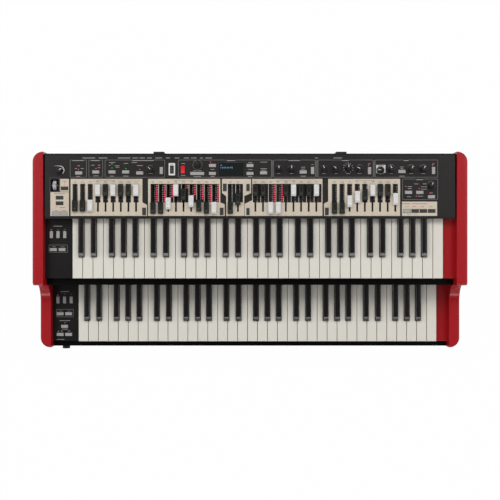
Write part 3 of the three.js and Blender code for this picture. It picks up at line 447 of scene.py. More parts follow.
def surface(name, shade, roughness, drift, grain, marks, brush=None, fleck=None, coat=None, glow=None,
            dim=1.0, **sockets):
    """A finish: drifting colour, handling marks in its roughness and a skin of grain or brushed lines."""
    material = bpy.data.materials.new(name)
    material.use_nodes = True
    tree = material.node_tree
    shader = tree.nodes["Principled BSDF"]
    place = tree.nodes.new("ShaderNodeTexCoord").outputs["Object"]
    base = tuple(value * dim for value in shade[:3]) + (1.0,)
    base = place_group(tree, colour_drift(), Place=place, Colour=base, Amount=drift[0], Scale=drift[1])
    if fleck:
        base = place_group(
            tree, mottled_print(), Place=place, Colour=base, Fleck=colour(*fleck[0]), Amount=fleck[1],
            Scale=fleck[2],
        )
    tree.links.new(base, shader.inputs["Base Color"])
    rough = place_group(
        tree, handling_marks(), Place=place, Roughness=roughness, Amount=marks[0], Scale=marks[1],
    )
    tree.links.new(rough, shader.inputs["Roughness"])
    height, strength, depth = None, 0.0, GRAIN_DEPTH
    if grain:
        height = place_group(tree, surface_grain(), Place=place, Scale=grain[0], Speck=grain[2])
        strength = grain[1]
    elif brush:
        height = place_group(tree, brushed_lines(), Place=place, Scale=brush[0])
        strength, depth = brush[1], BRUSH_DEPTH
    if height:
        inputs = {"Strength": strength, "Distance": depth, "Height": height}
        tree.links.new(add_node(tree, "ShaderNodeBump", inputs).outputs["Normal"], shader.inputs["Normal"])
    if coat:
        sockets.update({"Coat Weight": coat[0], "Coat Roughness": coat[1]})
    if glow:
        sockets.update({"Emission Color": shade, "Emission Strength": glow})
    for label, value in sockets.items():
        shader.inputs[label].default_value = value


# Forms: points and faces gathered in millimetres

# Angles in degrees: what stays flat, what is an edge to soften and what is shaded smooth
FLAT_ANGLE = 1.0
EDGE_ANGLE = 28.0
SMOOTH_ANGLE = 32.0
WELD = 0.005


class Form:
    """Closed shells gathered into one mesh. Each face has the number of its finish."""

    def __init__(self):
        self.points = []
        self.faces = []
        self.finishes = []

    def add(self, points, faces, number=0):
        """Adds one shell."""
        start = len(self.points)
        self.points += points
        self.faces += [[start + index for index in face] for face in faces]
        self.finishes += [number] * len(faces)
        return self

    def loft(self, rings, number=0, caps=True):
        """A skin over rings of points, closed at both ends. Without caps it runs round into itself."""
        count = len(rings[0])
        points = [point for ring in rings for point in ring]
        faces = []
        steps = len(rings) - 1 if caps else len(rings)
        for step in range(steps):
            here = step * count
            there = (step + 1) % len(rings) * count
            for index in range(count):
                after = (index + 1) % count
                faces.append([here + index, here + after, there + after, there + index])
        if caps:
            faces.append(list(range(count))[::-1])
            faces.append([(len(rings) - 1) * count + index for index in range(count)])
        return self.add(points, faces, number)

    def slab(self, across, along, heights, soft=0.3, number=0, corner=None, segments=2):
        """A block with soft edges."""
        middle = (sum(across) / 2, sum(along) / 2)
        width = across[1] - across[0]
        length = along[1] - along[0]
        corner = soft if corner is None else corner
        levels = [(heights[0], soft), (heights[0] + soft, 0.0)]
        levels += [
            (heights[1] - soft * (1 - math.sin(math.pi / 2 * step / segments)),
             soft * (1 - math.cos(math.pi / 2 * step / segments)))
            for step in range(segments + 1)
        ]
        rings = [
            rounded(middle[0], middle[1], width - 2 * inset, length - 2 * inset,
                    max(corner - inset, 0.05), height, segments)
            for height, inset in levels
        ]
        return self.loft(rings, number)

    def bar(self, across, along, heights, number=0):
        """A plain small mark."""
        corners = [(across[0], along[0]), (across[1], along[0]), (across[1], along[1]), (across[0], along[1])]
        return self.loft([[(x, y, height) for x, y in corners] for height in heights], number)

    def stroke(self, x, y, width, length, heights, number=0):
        """A plain small mark about its middle."""
        across = (x - width / 2, x + width / 2)
        return self.bar(across, (y - length / 2, y + length / 2), heights, number)

    def hoop(self, outer, inner, heights, number=0):
        """A flat line that runs round: the space between two rings, raised."""
        low, high = heights
        rings = [
            [(point[0], point[1], height) for point in ring]
            for ring, height in ((outer, low), (outer, high), (inner, high), (inner, low))
        ]
        return self.loft(rings, number, caps=False)

    def frame(self, middle, outer, inner, heights):
        """A flat line round a rectangle. Outer and inner are its width, length and corner radius."""
        return self.hoop(rounded(*middle, *outer, 0), rounded(*middle, *inner, 0), heights)

    def ribbon(self, outer, inner, heights, number=0):
        """A raised line between two open paths."""
        low, high = heights
        return self.loft([
            [(*a[:2], low), (*a[:2], high), (*b[:2], high), (*b[:2], low)] for a, b in zip(outer, inner)
        ], number)

    def lathe(self, middle, profile, sides=24, number=0, wave=None):
        """A profile of radius and height turned about an upright line. A wave gives it flutes."""
        rings = []
        for radius, height in profile:
            ring = []
            for side in range(sides):
                angle = 2 * math.pi * side / sides
                reach = radius * (wave(angle, height) if wave else 1.0)
                ring.append((
                    middle[0] + reach * math.cos(angle), middle[1] + reach * math.sin(angle),
                    middle[2] + height,
                ))
            rings.append(ring)
        return self.loft(rings, number)

    def turned(self, matrix, start=0):
        """Moves the points from start on by a matrix."""
        self.points[start:] = [tuple(matrix @ Vector(point)) for point in self.points[start:]]
        return self

    def mesh(self, name, angle=SMOOTH_ANGLE):
        """The gathered shells as a mesh in metres, with smooth shading up to an angle."""
        mesh = bpy.data.meshes.new(name)
        mesh.from_pydata([(x * MM, y * MM, z * MM) for x, y, z in self.points], [], self.faces)
        mesh.polygons.foreach_set("material_index", self.finishes)
        turned_out(mesh)
        smoothed(mesh, angle)
        return mesh


def turned_out(mesh, merge=None):
    """Merges points where asked and turns every face of a closed mesh outwards."""
    form = bmesh.new()
    form.from_mesh(mesh)
    if merge:
        bmesh.ops.remove_doubles(form, verts=form.verts, dist=merge * MM)
    bmesh.ops.recalc_face_normals(form, faces=form.faces)
    form.to_mesh(mesh)
    form.free()


def smoothed(mesh, angle=SMOOTH_ANGLE):
    """Smooth shading, broken where faces meet at more than an angle."""
    mesh.polygons.foreach_set("use_smooth", [True] * len(mesh.polygons))
    mesh.set_sharp_from_angle(angle=math.radians(angle))
    mesh.update()


def rounded(x, y, width, length, radius, height, segments=3):
    """A ring of points: a rectangle with rounded corners, seen from above."""
    ring = []
    for turn, (side, end) in enumerate(((1, 1), (-1, 1), (-1, -1), (1, -1))):
        for step in range(segments + 1):
            angle = math.pi / 2 * (turn + step / segments)
            ring.append((
                x + side * (width / 2 - radius) + radius * math.cos(angle),
                y + end * (length / 2 - radius) + radius * math.sin(angle), height,
            ))
    return ring


def eased(radius, depth):
    """How far a rounded edge has drawn back at a depth from its face."""
    return radius - math.sqrt(max(radius ** 2 - max(radius - depth, 0.0) ** 2, 0.0))


def arc(x, y, radius, start, end, steps):
    """Points of an arc in degrees."""
    return [
        (x + radius * math.cos(math.radians(start + (end - start) * step / steps)),
         y + radius * math.sin(math.radians(start + (end - start) * step / steps)))
        for step in range(steps + 1)
    ]


def linked(name, data):
    """A new object in the scene."""
    made = bpy.data.objects.new(name, data)
    bpy.context.scene.collection.objects.link(made)
    return made


def piece(name, source, finishes, body="root", stands_for=(), angle=SMOOTH_ANGLE):
    """A finished piece: its mesh, its finishes, the body that it moves with and the node it stands for."""
    mesh = source.mesh(name, angle) if isinstance(source, Form) else source
    mesh.name = name
    made = linked(name, mesh)
    for each in finishes:
        mesh.materials.append(finish(each))
    even = made.modifiers.new("Weighted Normals", "WEIGHTED_NORMAL")
    even.keep_sharp = True
    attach(made, body)
    if stands_for:
        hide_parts(*stands_for)
    return made


def in_place_of(node, word, source, finishes, angle=SMOOTH_ANGLE):
    """A piece that stands for one node, takes its name and moves with its body."""
    return piece(f"{node}_{word}", source, finishes, body_of(node), (node,), angle)


def painted(made, number):
    """Gives each face of a piece the finish that a rule picks from the face's middle."""
    for face in made.data.polygons:
        face.material_index = int(number(*(face.center / MM)))


def welded(node):
    """A node's mesh, open to edit, with its points merged."""
    form = bmesh.new()
    form.from_mesh(NODES[node].data)
    bmesh.ops.remove_doubles(form, verts=form.verts, dist=WELD * MM)
    return form


def closed(form, name):
    """An edited form as a smooth mesh."""
    mesh = bpy.data.meshes.new(name)
    form.to_mesh(mesh)
    form.free()
    smoothed(mesh)
    return mesh


def flattened(form):
    """Makes the flat faces of a mesh whole."""
    angle = math.radians(FLAT_ANGLE)
    bmesh.ops.dissolve_limit(form, angle_limit=angle, verts=form.verts, edges=form.edges)


def refined(node, width, segments=2):
    """A copy of a node's mesh with its points merged, its flat faces whole and its edges softened."""
    form = welded(node)
    flattened(form)
    edges = [
        edge for edge in form.edges
        if len(edge.link_faces) == 2 and edge.calc_face_angle(0.0) > math.radians(EDGE_ANGLE)
    ]
    bmesh.ops.bevel(
        form, geom=edges, offset=width * MM, offset_type="OFFSET", segments=segments, profile=0.5,
        affect="EDGES", clamp_overlap=True,
    )
    return closed(form, node + "_refined")


def evaluated(holder):
    """The mesh that an object's curves or modifiers make. The object goes."""
    depsgraph = bpy.context.evaluated_depsgraph_get()
    mesh = bpy.data.meshes.new_from_object(
        holder.evaluated_get(depsgraph), preserve_all_data_layers=True, depsgraph=depsgraph,
    )
    bpy.data.objects.remove(holder, do_unlink=True)
    return mesh


def filled(name, loops, heights):
    """A flat area with holes, raised from one height to another: the first loop is its outline."""
    curve = bpy.data.curves.new(name, "CURVE")
    curve.dimensions = "2D"
    curve.fill_mode = "BOTH"
    curve.extrude = (heights[1] - heights[0]) / 2 * MM
    for loop in loops:
        spline = curve.splines.new("POLY")
        spline.points.add(len(loop) - 1)
        for point, (x, y) in zip(spline.points, loop):
            point.co = (x * MM, y * MM, 0.0, 1.0)
        spline.use_cyclic_u = True
    return mesh_of(curve, name, (0.0, 0.0, sum(heights) / 2))


def mesh_of(curve, name, place):
    """A flat curve or text as a mesh, laid at its place."""
    mesh = evaluated(linked(name, curve))
    turned_out(mesh, merge=0.002)
    mesh.transform(Matrix.Translation([value * MM for value in place]))
    smoothed(mesh, 20.0)
    return mesh


def figures(text, height, place, thickness=0.1, align="CENTER"):
    """Plain numerals, laid flat at a place."""
    curve = bpy.data.curves.new("numerals_" + text, "FONT")
    curve.body = text
    curve.size = height / 0.7 * MM
    curve.extrude = thickness / 2 * MM
    curve.align_x = align
    curve.align_y = "CENTER"
    curve.resolution_u = 2
    return mesh_of(curve, "numerals", place)


def gathered(name, meshes):
    """Several meshes as one."""
    form = bmesh.new()
    for each in meshes:
        form.from_mesh(each)
    mesh = bpy.data.meshes.new(name)
    form.to_mesh(mesh)
    form.free()
    for each in meshes:
        bpy.data.meshes.remove(each)
    return mesh


def loops_at(node, height):
    """Closed outlines round a node's upward faces at one height: the edges that only one such face has."""
    form = welded(node)
    flat = {
        face for face in form.faces
        if face.normal.z > 0.99 and all(abs(vert.co.z / MM - height) < 0.02 for vert in face.verts)
    }
    onward = {}
    for face in flat:
        for loop in face.loops:
            if len([other for other in loop.edge.link_faces if other in flat]) == 1:
                onward.setdefault(loop.vert, []).append(loop.link_loop_next.vert)
    outlines = []
    while onward:
        start = next(iter(onward))
        here = start
        outline = []
        while here in onward:
            outline.append((here.co.x / MM, here.co.y / MM))
            ahead = onward[here].pop()
            if not onward[here]:
                del onward[here]
            here = ahead
            if here is start:
                break
        outlines.append(outline)
    form.free()
    return outlines


def reach(outline):
    """Lowest and highest X and Y of an outline."""
    xs = [point[0] for point in outline]
    ys = [point[1] for point in outline]
    return min(xs), max(xs), min(ys), max(ys)


# Geometry trees: rules for what repeats


TICK_SOCKETS = [("Ticks", "Int"), ("Tick Length", "Float"), ("Tick Width", "Float"), ("Thickness", "Float")]


class Rule:
    """A geometry tree with named inputs that ends in real geometry with its finishes set."""

    def __init__(self, name, sockets):
        self.tree = bpy.data.node_groups.new(name, "GeometryNodeTree")
        face = self.tree.interface
        face.new_socket(name="Geometry", in_out="INPUT", socket_type="NodeSocketGeometry")
        face.new_socket(name="Geometry", in_out="OUTPUT", socket_type="NodeSocketGeometry")
        for label, kind in sockets + [("Finish", "Material"), ("Second Finish", "Material")]:
            face.new_socket(name=label, in_out="INPUT", socket_type="NodeSocket" + kind)
        self.entry = self.tree.nodes.new("NodeGroupInput")

    def input(self, label):
        return self.entry.outputs[label]

    def node(self, kind, inputs=None, **settings):
        return add_node(self.tree, kind, inputs, **settings)

    def worked_out(self, operation, *values):
        return worked_out(self.tree, operation, *values)

    def vector(self, **parts):
        return self.node("ShaderNodeCombineXYZ", parts).outputs[0]

    def tick(self):
        """One tick: a small block."""
        box = self.vector(X=self.input("Tick Length"), Y=self.input("Tick Width"), Z=self.input("Thickness"))
        return self.node("GeometryNodeMeshCube", {"Size": box}).outputs[0]

    def form(self, label):
        """The geometry of an object that is an input."""
        info = self.node("GeometryNodeObjectInfo", {"Object": self.input(label)})
        info.transform_space = "ORIGINAL"
        return info.outputs["Geometry"]

    def instances(self, points, instance, turn=None):
        inputs = {"Points": points, "Instance": instance}
        if turn is not None:
            inputs["Rotation"] = turn
        return self.node("GeometryNodeInstanceOnPoints", inputs).outputs["Instances"]

    def joined(self, *parts):
        join = self.tree.nodes.new("GeometryNodeJoinGeometry")
        for part in parts:
            self.tree.links.new(part, join.inputs[0])
        return join.outputs[0]

    def ends(self, geometry):
        """Realizes the result and sets its finishes: the second goes on the faces marked second."""
        real = self.node("GeometryNodeRealizeInstances", {"Geometry": geometry}).outputs[0]
        marked = self.node("GeometryNodeInputNamedAttribute", {"Name": "second"}, data_type="BOOLEAN")
        first = self.node("GeometryNodeSetMaterial", {"Geometry": real, "Material": self.input("Finish")})
        both = self.node("GeometryNodeSetMaterial", {
            "Geometry": first.outputs[0], "Selection": marked.outputs["Attribute"],
            "Material": self.input("Second Finish"),
        })
        out = self.tree.nodes.new("NodeGroupOutput")
        self.tree.links.new(both.outputs[0], out.inputs["Geometry"])
        return self.tree


def rule_tree(name, sockets, build):
    """A geometry tree by its name, built when it is first asked for."""
    if name not in bpy.data.node_groups:
        rule = Rule(name, sockets)
        rule.ends(build(rule))
    return bpy.data.node_groups[name]


def followed(name, source, tree, values, angle=SMOOTH_ANGLE):
    """What a geometry tree makes of a source mesh, as a plain mesh."""
    holder = linked(name + "_rule", source)
    modifier = holder.modifiers.new("Rule", "NODES")
    modifier.node_group = tree
    for item in tree.interface.items_tree:
        if item.item_type == "SOCKET" and item.in_out == "INPUT" and item.name in values:
            modifier[item.identifier] = values[item.name]
    bpy.context.view_layer.update()
    mesh = evaluated(holder)
    mesh.name = name
    smoothed(mesh, angle)
    return mesh


def form_object(name, source, second=None):
    """A form that a geometry tree repeats. Its faces that pass a test are marked for the second finish."""
    mesh = source.mesh(name) if isinstance(source, Form) else source
    if second:
        mark = mesh.attributes.new("second", "BOOLEAN", "FACE")
        for face, value in zip(mesh.polygons, mark.data):
            value.value = second(face)
    return linked(name, mesh)


def cleared(*forms):
    """Removes forms once what repeats them is baked."""
    for each in forms:
        bpy.data.objects.remove(each, do_unlink=True)


def points_mesh(name, places):
    """Points for a tree that sets a form on each."""
    mesh = bpy.data.meshes.new(name)
    mesh.from_pydata([(x * MM, y * MM, z * MM) for x, y, z in places], [], [])
    return mesh


def copies_rule():
    """One form set on each point of the source mesh."""
    def build(rule):
        return rule.instances(rule.input("Geometry"), rule.form("Form"))

    return rule_tree("Copies on Points", [("Form", "Object")], build)


def copies(name, form, places, finishes, second=None, angle=SMOOTH_ANGLE):
    """Copies of a form on points, as one piece."""
    model = form_object(name + "_form", form, second)
    mesh = followed(name, points_mesh(name + "_points", places), copies_rule(), {
        "Form": model, "Finish": finish(finishes[0]), "Second Finish": finish(finishes[-1]),
    }, angle)
    cleared(model)
    return piece(name, mesh, ())


def manual_rule():
    """A row of keys: one octave's form repeated, the last key and the rail that carries them."""
    def build(rule):
        step = rule.vector(X=rule.input("Octave Width"))
        line = rule.node("GeometryNodeMeshLine", {"Count": rule.input("Octaves"), "Offset": step})
        row = rule.instances(line.outputs[0], rule.form("Octave"))
        return rule.joined(row, rule.form("Last Key"), rule.form("Rail"))

    return rule_tree("Manual of Keys", [
        ("Octave", "Object"), ("Last Key", "Object"), ("Rail", "Object"), ("Octaves", "Int"),
        ("Octave Width", "Float"),
    ], build)


def ladder_rule():
    """A ladder of ticks that runs towards the player from each point of the source mesh."""
    def build(rule):
        offset = rule.vector(Y=rule.worked_out("MULTIPLY", rule.input("Step"), -1.0))
        line = rule.node("GeometryNodeMeshLine", {"Count": rule.input("Ticks"), "Offset": offset}).outputs[0]
        return rule.instances(rule.input("Geometry"), rule.instances(line, rule.tick()))

    return rule_tree("Tick Ladder", [("Step", "Float")] + TICK_SOCKETS, build)


def ladders(name, places, ticks, step, tick, look):
    """Ladders of ticks, one from each place, as one mesh."""
    return ticked(name, places, ladder_rule(), ticks, tick, look, {"Step": step * MM})


def dial_rule():
    """An arc of ticks round each point of the source mesh."""
    def build(rule):
        count = rule.worked_out("SUBTRACT", rule.input("Ticks"), 1.0)
        share = rule.worked_out("DIVIDE", rule.node("GeometryNodeInputIndex").outputs[0], count)
        sweep = rule.worked_out("MULTIPLY_ADD", share, rule.input("Sweep"), rule.input("Start Angle"))
        place = rule.vector(**{
            axis: rule.worked_out("MULTIPLY", rule.worked_out(turned, sweep), rule.input("Radius"))
            for axis, turned in (("X", "COSINE"), ("Y", "SINE"))
        })
        line = rule.node("GeometryNodeMeshLine", {"Count": rule.input("Ticks")}).outputs[0]
        placed = rule.node("GeometryNodeSetPosition", {"Geometry": line, "Position": place}).outputs[0]
        scale = rule.instances(placed, rule.tick(), rule.vector(Z=sweep))
        return rule.instances(rule.input("Geometry"), scale)

    sockets = [("Radius", "Float"), ("Start Angle", "Float"), ("Sweep", "Float")]
    return rule_tree("Dial Scale", sockets + TICK_SOCKETS, build)


def dials(name, places, ticks, radius, start, sweep, tick, look):
    """Dial scales round places, as one mesh. Angles are in degrees."""
    return ticked(name, places, dial_rule(), ticks, tick, look, {
        "Radius": radius * MM, "Start Angle": math.radians(start), "Sweep": math.radians(sweep),
    })


def ticked(name, places, tree, ticks, tick, look, values):
    """What a tree of ticks makes at each place. A tick is its length, width and thickness."""
    length, width, thickness = tick
    return followed(name, points_mesh(name + "_points", places), tree, {
        "Ticks": ticks, "Tick Length": length * MM, "Tick Width": width * MM, "Thickness": thickness * MM,
        "Finish": finish(look), "Second Finish": finish(look), **values,
    })


# Pieces


class OrganOperator(bpy.types.Operator):
    """What the organ's operators share"""

    bl_options = {"REGISTER", "UNDO"}

    def execute(self, context):
        """Builds the operator's pieces."""
        self.build()
        return {"FINISHED"}


# Each lamp: place and aim in metres, width and length, power and colour
SOFTBOXES = (
    ("left_softbox", (-1.5, 0.3, 1.45), (-0.1, 0.0, 0.1), (1.3, 1.6), 9.0, (1.0, 0.99, 0.975)),
    ("right_softbox", (1.5, 0.3, 1.45), (0.1, 0.0, 0.1), (1.3, 1.6), 9.0, (1.0, 0.99, 0.975)),
    ("rear_softbox", (0.0, 1.55, 2.1), (0.0, 0.0, 0.1), (2.6, 0.9), 36.0, (1.0, 0.995, 0.98)),
    ("front_softbox", (0.0, -2.0, 1.3), (0.0, -0.1, 0.1), (2.6, 0.5), 17.0, (1.0, 0.995, 0.985)),
)
FLOOR_HALF = 9.0
FLOOR_WHITE = 0.985
SENSOR_WIDTH = 36.0
LENS_LENGTH = 70.776
CAMERA_PLACE = (0.0, 0.0062, 2.389)
# Brightness of the room in a gloss surface: at the horizon and above
ROOM_LOW = 0.6
ROOM_HIGH = 0.12


class ORGAN_OT_stage(OrganOperator):
    """Camera, pale floor, plain backdrop and soft lamps"""

    bl_idname = "organ.stage"
    bl_label = "Stage"

    def build(self):
        """Sets the camera where the photograph was taken and lights the organ."""
        scene = bpy.context.scene
        scene.view_settings.view_transform = "Standard"
        lens = bpy.data.cameras.new("camera")
        lens.sensor_width = SENSOR_WIDTH
        lens.lens = LENS_LENGTH
        lens.clip_end = 20.0
        camera = linked("camera", lens)
        camera.location = CAMERA_PLACE
        scene.camera = camera
        self.floor()
        self.backdrop(scene)
        for each in SOFTBOXES:
            self.softbox(*each)

    def softbox(self, name, place, aim, extent, power, shade):
        """One rectangular lamp turned to its aim."""
        lamp = bpy.data.lights.new(name, "AREA")
        lamp.shape = "RECTANGLE"
        lamp.size, lamp.size_y = extent
        lamp.energy = power
        lamp.color = shade
        made = linked(name, lamp)
        made.location = place
        made.rotation_euler = (Vector(aim) - Vector(place)).to_track_quat("-Z", "Y").to_euler()

    def floor(self):
        """A wide floor: white to the camera, and with a trace of the organ's shadow."""
        mesh = bpy.data.meshes.new("floor")
        corners = [(x * FLOOR_HALF, y * FLOOR_HALF, 0) for x, y in ((-1, -1), (1, -1), (1, 1), (-1, 1))]
        mesh.from_pydata(corners, [], [(0, 1, 2, 3)])
        material = bpy.data.materials.new("floor_paper")
        material.use_nodes = True
        tree = material.node_tree
        tree.nodes.clear()
        place = tree.nodes.new("ShaderNodeTexCoord").outputs["Object"]
        shade = place_group(
            tree, colour_drift(), Place=place, Colour=(0.82, 0.82, 0.815, 1.0), Amount=0.03, Scale=0.6,
        )
        paper = add_node(tree, "ShaderNodeBsdfDiffuse", {"Color": shade})
        white = add_node(tree, "ShaderNodeEmission", {"Color": (1.0, 1.0, 1.0, 1.0), "Strength": 1.0})
        path = tree.nodes.new("ShaderNodeLightPath")
        seen = worked_out(tree, "MULTIPLY", path.outputs["Is Camera Ray"], FLOOR_WHITE)
        mixed = add_node(tree, "ShaderNodeMixShader", {0: seen, 1: paper.outputs[0], 2: white.outputs[0]})
        out = tree.nodes.new("ShaderNodeOutputMaterial")
        tree.links.new(mixed.outputs[0], out.inputs["Surface"])
        mesh.materials.append(material)
        linked("floor", mesh)

    def backdrop(self, scene):
        """White behind everything; a gloss surface sees it only near the horizon, and a dim room above."""
        world = bpy.data.worlds.new("room")
        scene.world = world
        world.use_nodes = True
        tree = world.node_tree
        tree.nodes.clear()
        direction = tree.nodes.new("ShaderNodeTexCoord").outputs["Generated"]
        upward = add_node(tree, "ShaderNodeSeparateXYZ", {0: direction}).outputs["Z"]
        room = add_node(tree, "ShaderNodeMapRange", {
            "Value": upward, "From Min": 0.1, "From Max": 0.6, "To Min": ROOM_LOW, "To Max": ROOM_HIGH,
        }).outputs["Result"]
        path = tree.nodes.new("ShaderNodeLightPath")
        level = add_node(tree, "ShaderNodeMapRange", {
            "Value": path.outputs["Is Camera Ray"], "To Min": room, "To Max": 1.0,
        }).outputs["Result"]
        light = add_node(tree, "ShaderNodeBackground", {"Color": (1.0, 1.0, 1.0, 1.0), "Strength": level})
        out = tree.nodes.new("ShaderNodeOutputWorld")
        tree.links.new(light.outputs[0], out.inputs["Surface"])


# How far the ledge beside each manual's last key lies below the keys
LEDGE_DROPS = {"upper": 7.0, "lower": 12.0}


class ORGAN_OT_cheeks(OrganOperator):
    """Red cheeks: planks with a tall rear, a hollow step and rounded corners and edges"""

    bl_idname = "organ.cheeks"
    bl_label = "Cheeks"

    corner: length_property("Corner", "Plan radius of the outer corners", 23.0)
    step_radius: length_property("Step radius", "Radius of the hollow under the step", 45.0)

    def build(self):
        """Makes both cheeks."""
        for node, hand in (("left_cheek", -1), ("right_cheek", 1)):
            form = Form()
            self.plank(form, node, hand)
            if hand > 0:
                self.ledges(form)
            in_place_of(node, "lacquered", form, ("lacquer",), 40.0)

    def side(self, inset, front, rear, step, low, high, floor):
        """The cheek's outline in Y and Z, drawn in from its edges."""
        radius = self.step_radius / MM
        soft = 3.0
        points = [(rear, floor), (rear, high - inset - soft)]
        points += arc(rear - soft, high - inset - soft, soft, 0, 90, 4)[1:]
        points += arc(step + inset + 2 * soft, high - inset - 2 * soft, 2 * soft, 90, 180, 5)
        points += arc(step + inset - radius, low - inset + radius, radius, 0, -90, 12)
        points += arc(front + soft, low - inset - soft, soft, 90, 180, 4)
        points.append((front, floor))
        return points

    def plank(self, form, node, hand):
        """One cheek, lofted from its inner to its outer side."""
        low, high = span(node)
        inner = hand * INNER_HALF
        thickness = OUTER_HALF - INNER_HALF
        corner = self.corner / MM
        soft = size("cheek_edge")
        inner_soft = 1.0
        offsets = [0.0, 0.25, 0.6, inner_soft]
        offsets += [thickness - corner * math.cos(math.pi / 2 * step / 14) for step in range(15)]
        offsets += [thickness - 2.6, thickness - 1.8, thickness - 1.0, thickness - 0.5, thickness - 0.15]
        step_y = span("upper_front_rail")[0][1]
        low_top = span("lower_naturals_cegb")[1][2] + 12.0
        rings = []
        for offset in sorted(set(round(value, 3) for value in offsets)):
            drawn = eased(corner, thickness - offset)
            inset = eased(soft, thickness - offset) + eased(inner_soft, offset)
            outline = self.side(
                inset, low[1] + drawn, high[1] - drawn, step_y, low_top, high[2], low[2],
            )
            rings.append([(inner + hand * offset, y, z) for y, z in outline])
        form.loft(rings)

    def ledges(self, form):
        """The ledge beside the last key of each manual."""
        for manual, drop in LEDGE_DROPS.items():
            keys_low, keys_high = span(manual + "_naturals_cegb")
            form.slab(
                (keys_high[0] + KEY_GAP, INNER_HALF + 8.0), (keys_low[1], keys_low[1] + BODY_LENGTH),
                (keys_high[2] - KEY_BODY - 10.7, keys_high[2] - drop), 0.8, segments=3,
            )


def collar(profile, sides=28):
    """A closed ring turned from a profile of radius and height."""
    form = Form()
    return form.loft([
        [(x, y, height) for x, y in arc(0.0, 0.0, radius, 0, 360 - 360 / sides, sides - 1)]
        for radius, height in profile
    ], caps=False)


# Rows of screws: on the rear wall by their height, and under the tray as X and Y
REAR_SCREWS = {150.0: (-440, -330, -110, 0, 110, 330, 440), 18.0: (-440, -60, 60, 300, 440)}
TRAY_SCREWS = (((-455, -230, 0, 230, 455), (-205, 205)), ((-300, 0, 300), (-70, 70)))


class ORGAN_OT_cabinet(OrganOperator):
    """Folded tray, upper front rail, feet and the bumpers' screws"""

    bl_idname = "organ.cabinet"
    bl_label = "Cabinet"

    def build(self):
        """Makes the sheet parts and what stands under them."""
        edge = size("sheet_edge")
        tray = piece("tray_folded", refined("bottom_tray", edge), ("rail_paint", "knob_rubber"), "root",
                     ("bottom_tray",))
        painted(tray, lambda x, y, z: not FRONT + 0.5 < y < REAR_WALL + 0.3)
        piece("front_rail_folded", refined("upper_front_rail", edge), ("rail_paint",), "root",
              ("upper_front_rail",))
        self.feet()
        self.screws()
        self.headphones()

    def feet(self):
        """Four turned rubber feet with a washer and a screw in each."""
        for node in ("foot_front_left", "foot_front_right", "foot_rear_left", "foot_rear_right"):
            low, high = span(node)
            top = high[2]
            wide = (high[0] - low[0]) / 2
            form = Form()
            form.lathe((*middle_of(node), 0.0), [
                (5.2, 1.6), (5.6, 0.25), (6.4, 0.0), (wide - 3.2, 0.0), (wide - 2.2, 0.35), (wide - 1.9, 1.2),
                (wide - 0.6, top - 2.6), (wide - 0.05, top - 1.8), (wide - 0.05, top), (0.02, top),
            ], 36)
            in_place_of(node, "moulded", form, ("foot_rubber",))

    def screws(self):
        """Flat-headed screws along the rear wall, the tray's edges and the panel's rear."""
        head = Form()
        head.lathe((0, 0, 0), [
            (2.9, 0.0), (2.9, 0.5), (2.5, 1.0), (1.9, 1.25), (0.9, 1.3), (0.85, 0.5), (0.02, 0.5),
        ], 18)
        head.turned(rotation(-90, "X"))
        places = [(x, REAR_WALL, height) for height, xs in REAR_SCREWS.items() for x in xs]
        copies("rear_screws", head, places, ("steel",))
        under = Form()
        under.lathe((0, 0, 0), [
            (3.4, 0.0), (3.4, -0.4), (2.9, -0.9), (1.9, -1.2), (0.9, -1.25), (0.85, -0.5), (0.02, -0.5),
        ], 18)
        places = [(x, y, TRAY_LOW[2]) for xs, ys in TRAY_SCREWS for x in xs for y in ys]
        copies("tray_screws", under, places, ("steel",))

    def headphones(self):
        """Nut, collar and dark bore of the headphone socket at the front."""
        form = collar([(3.5, -0.4), (3.5, 0.0), (4.1, 0.0), (4.3, -0.15), (4.3, -0.4)])
        place = Matrix.Translation((wall_x(HEADPHONE_SHARE), TRAY_LOW[1], HEADPHONE_Z))
        form.turned(place @ rotation(90, "X"))
        piece("headphone_ring", form, ("steel",), angle=40.0)


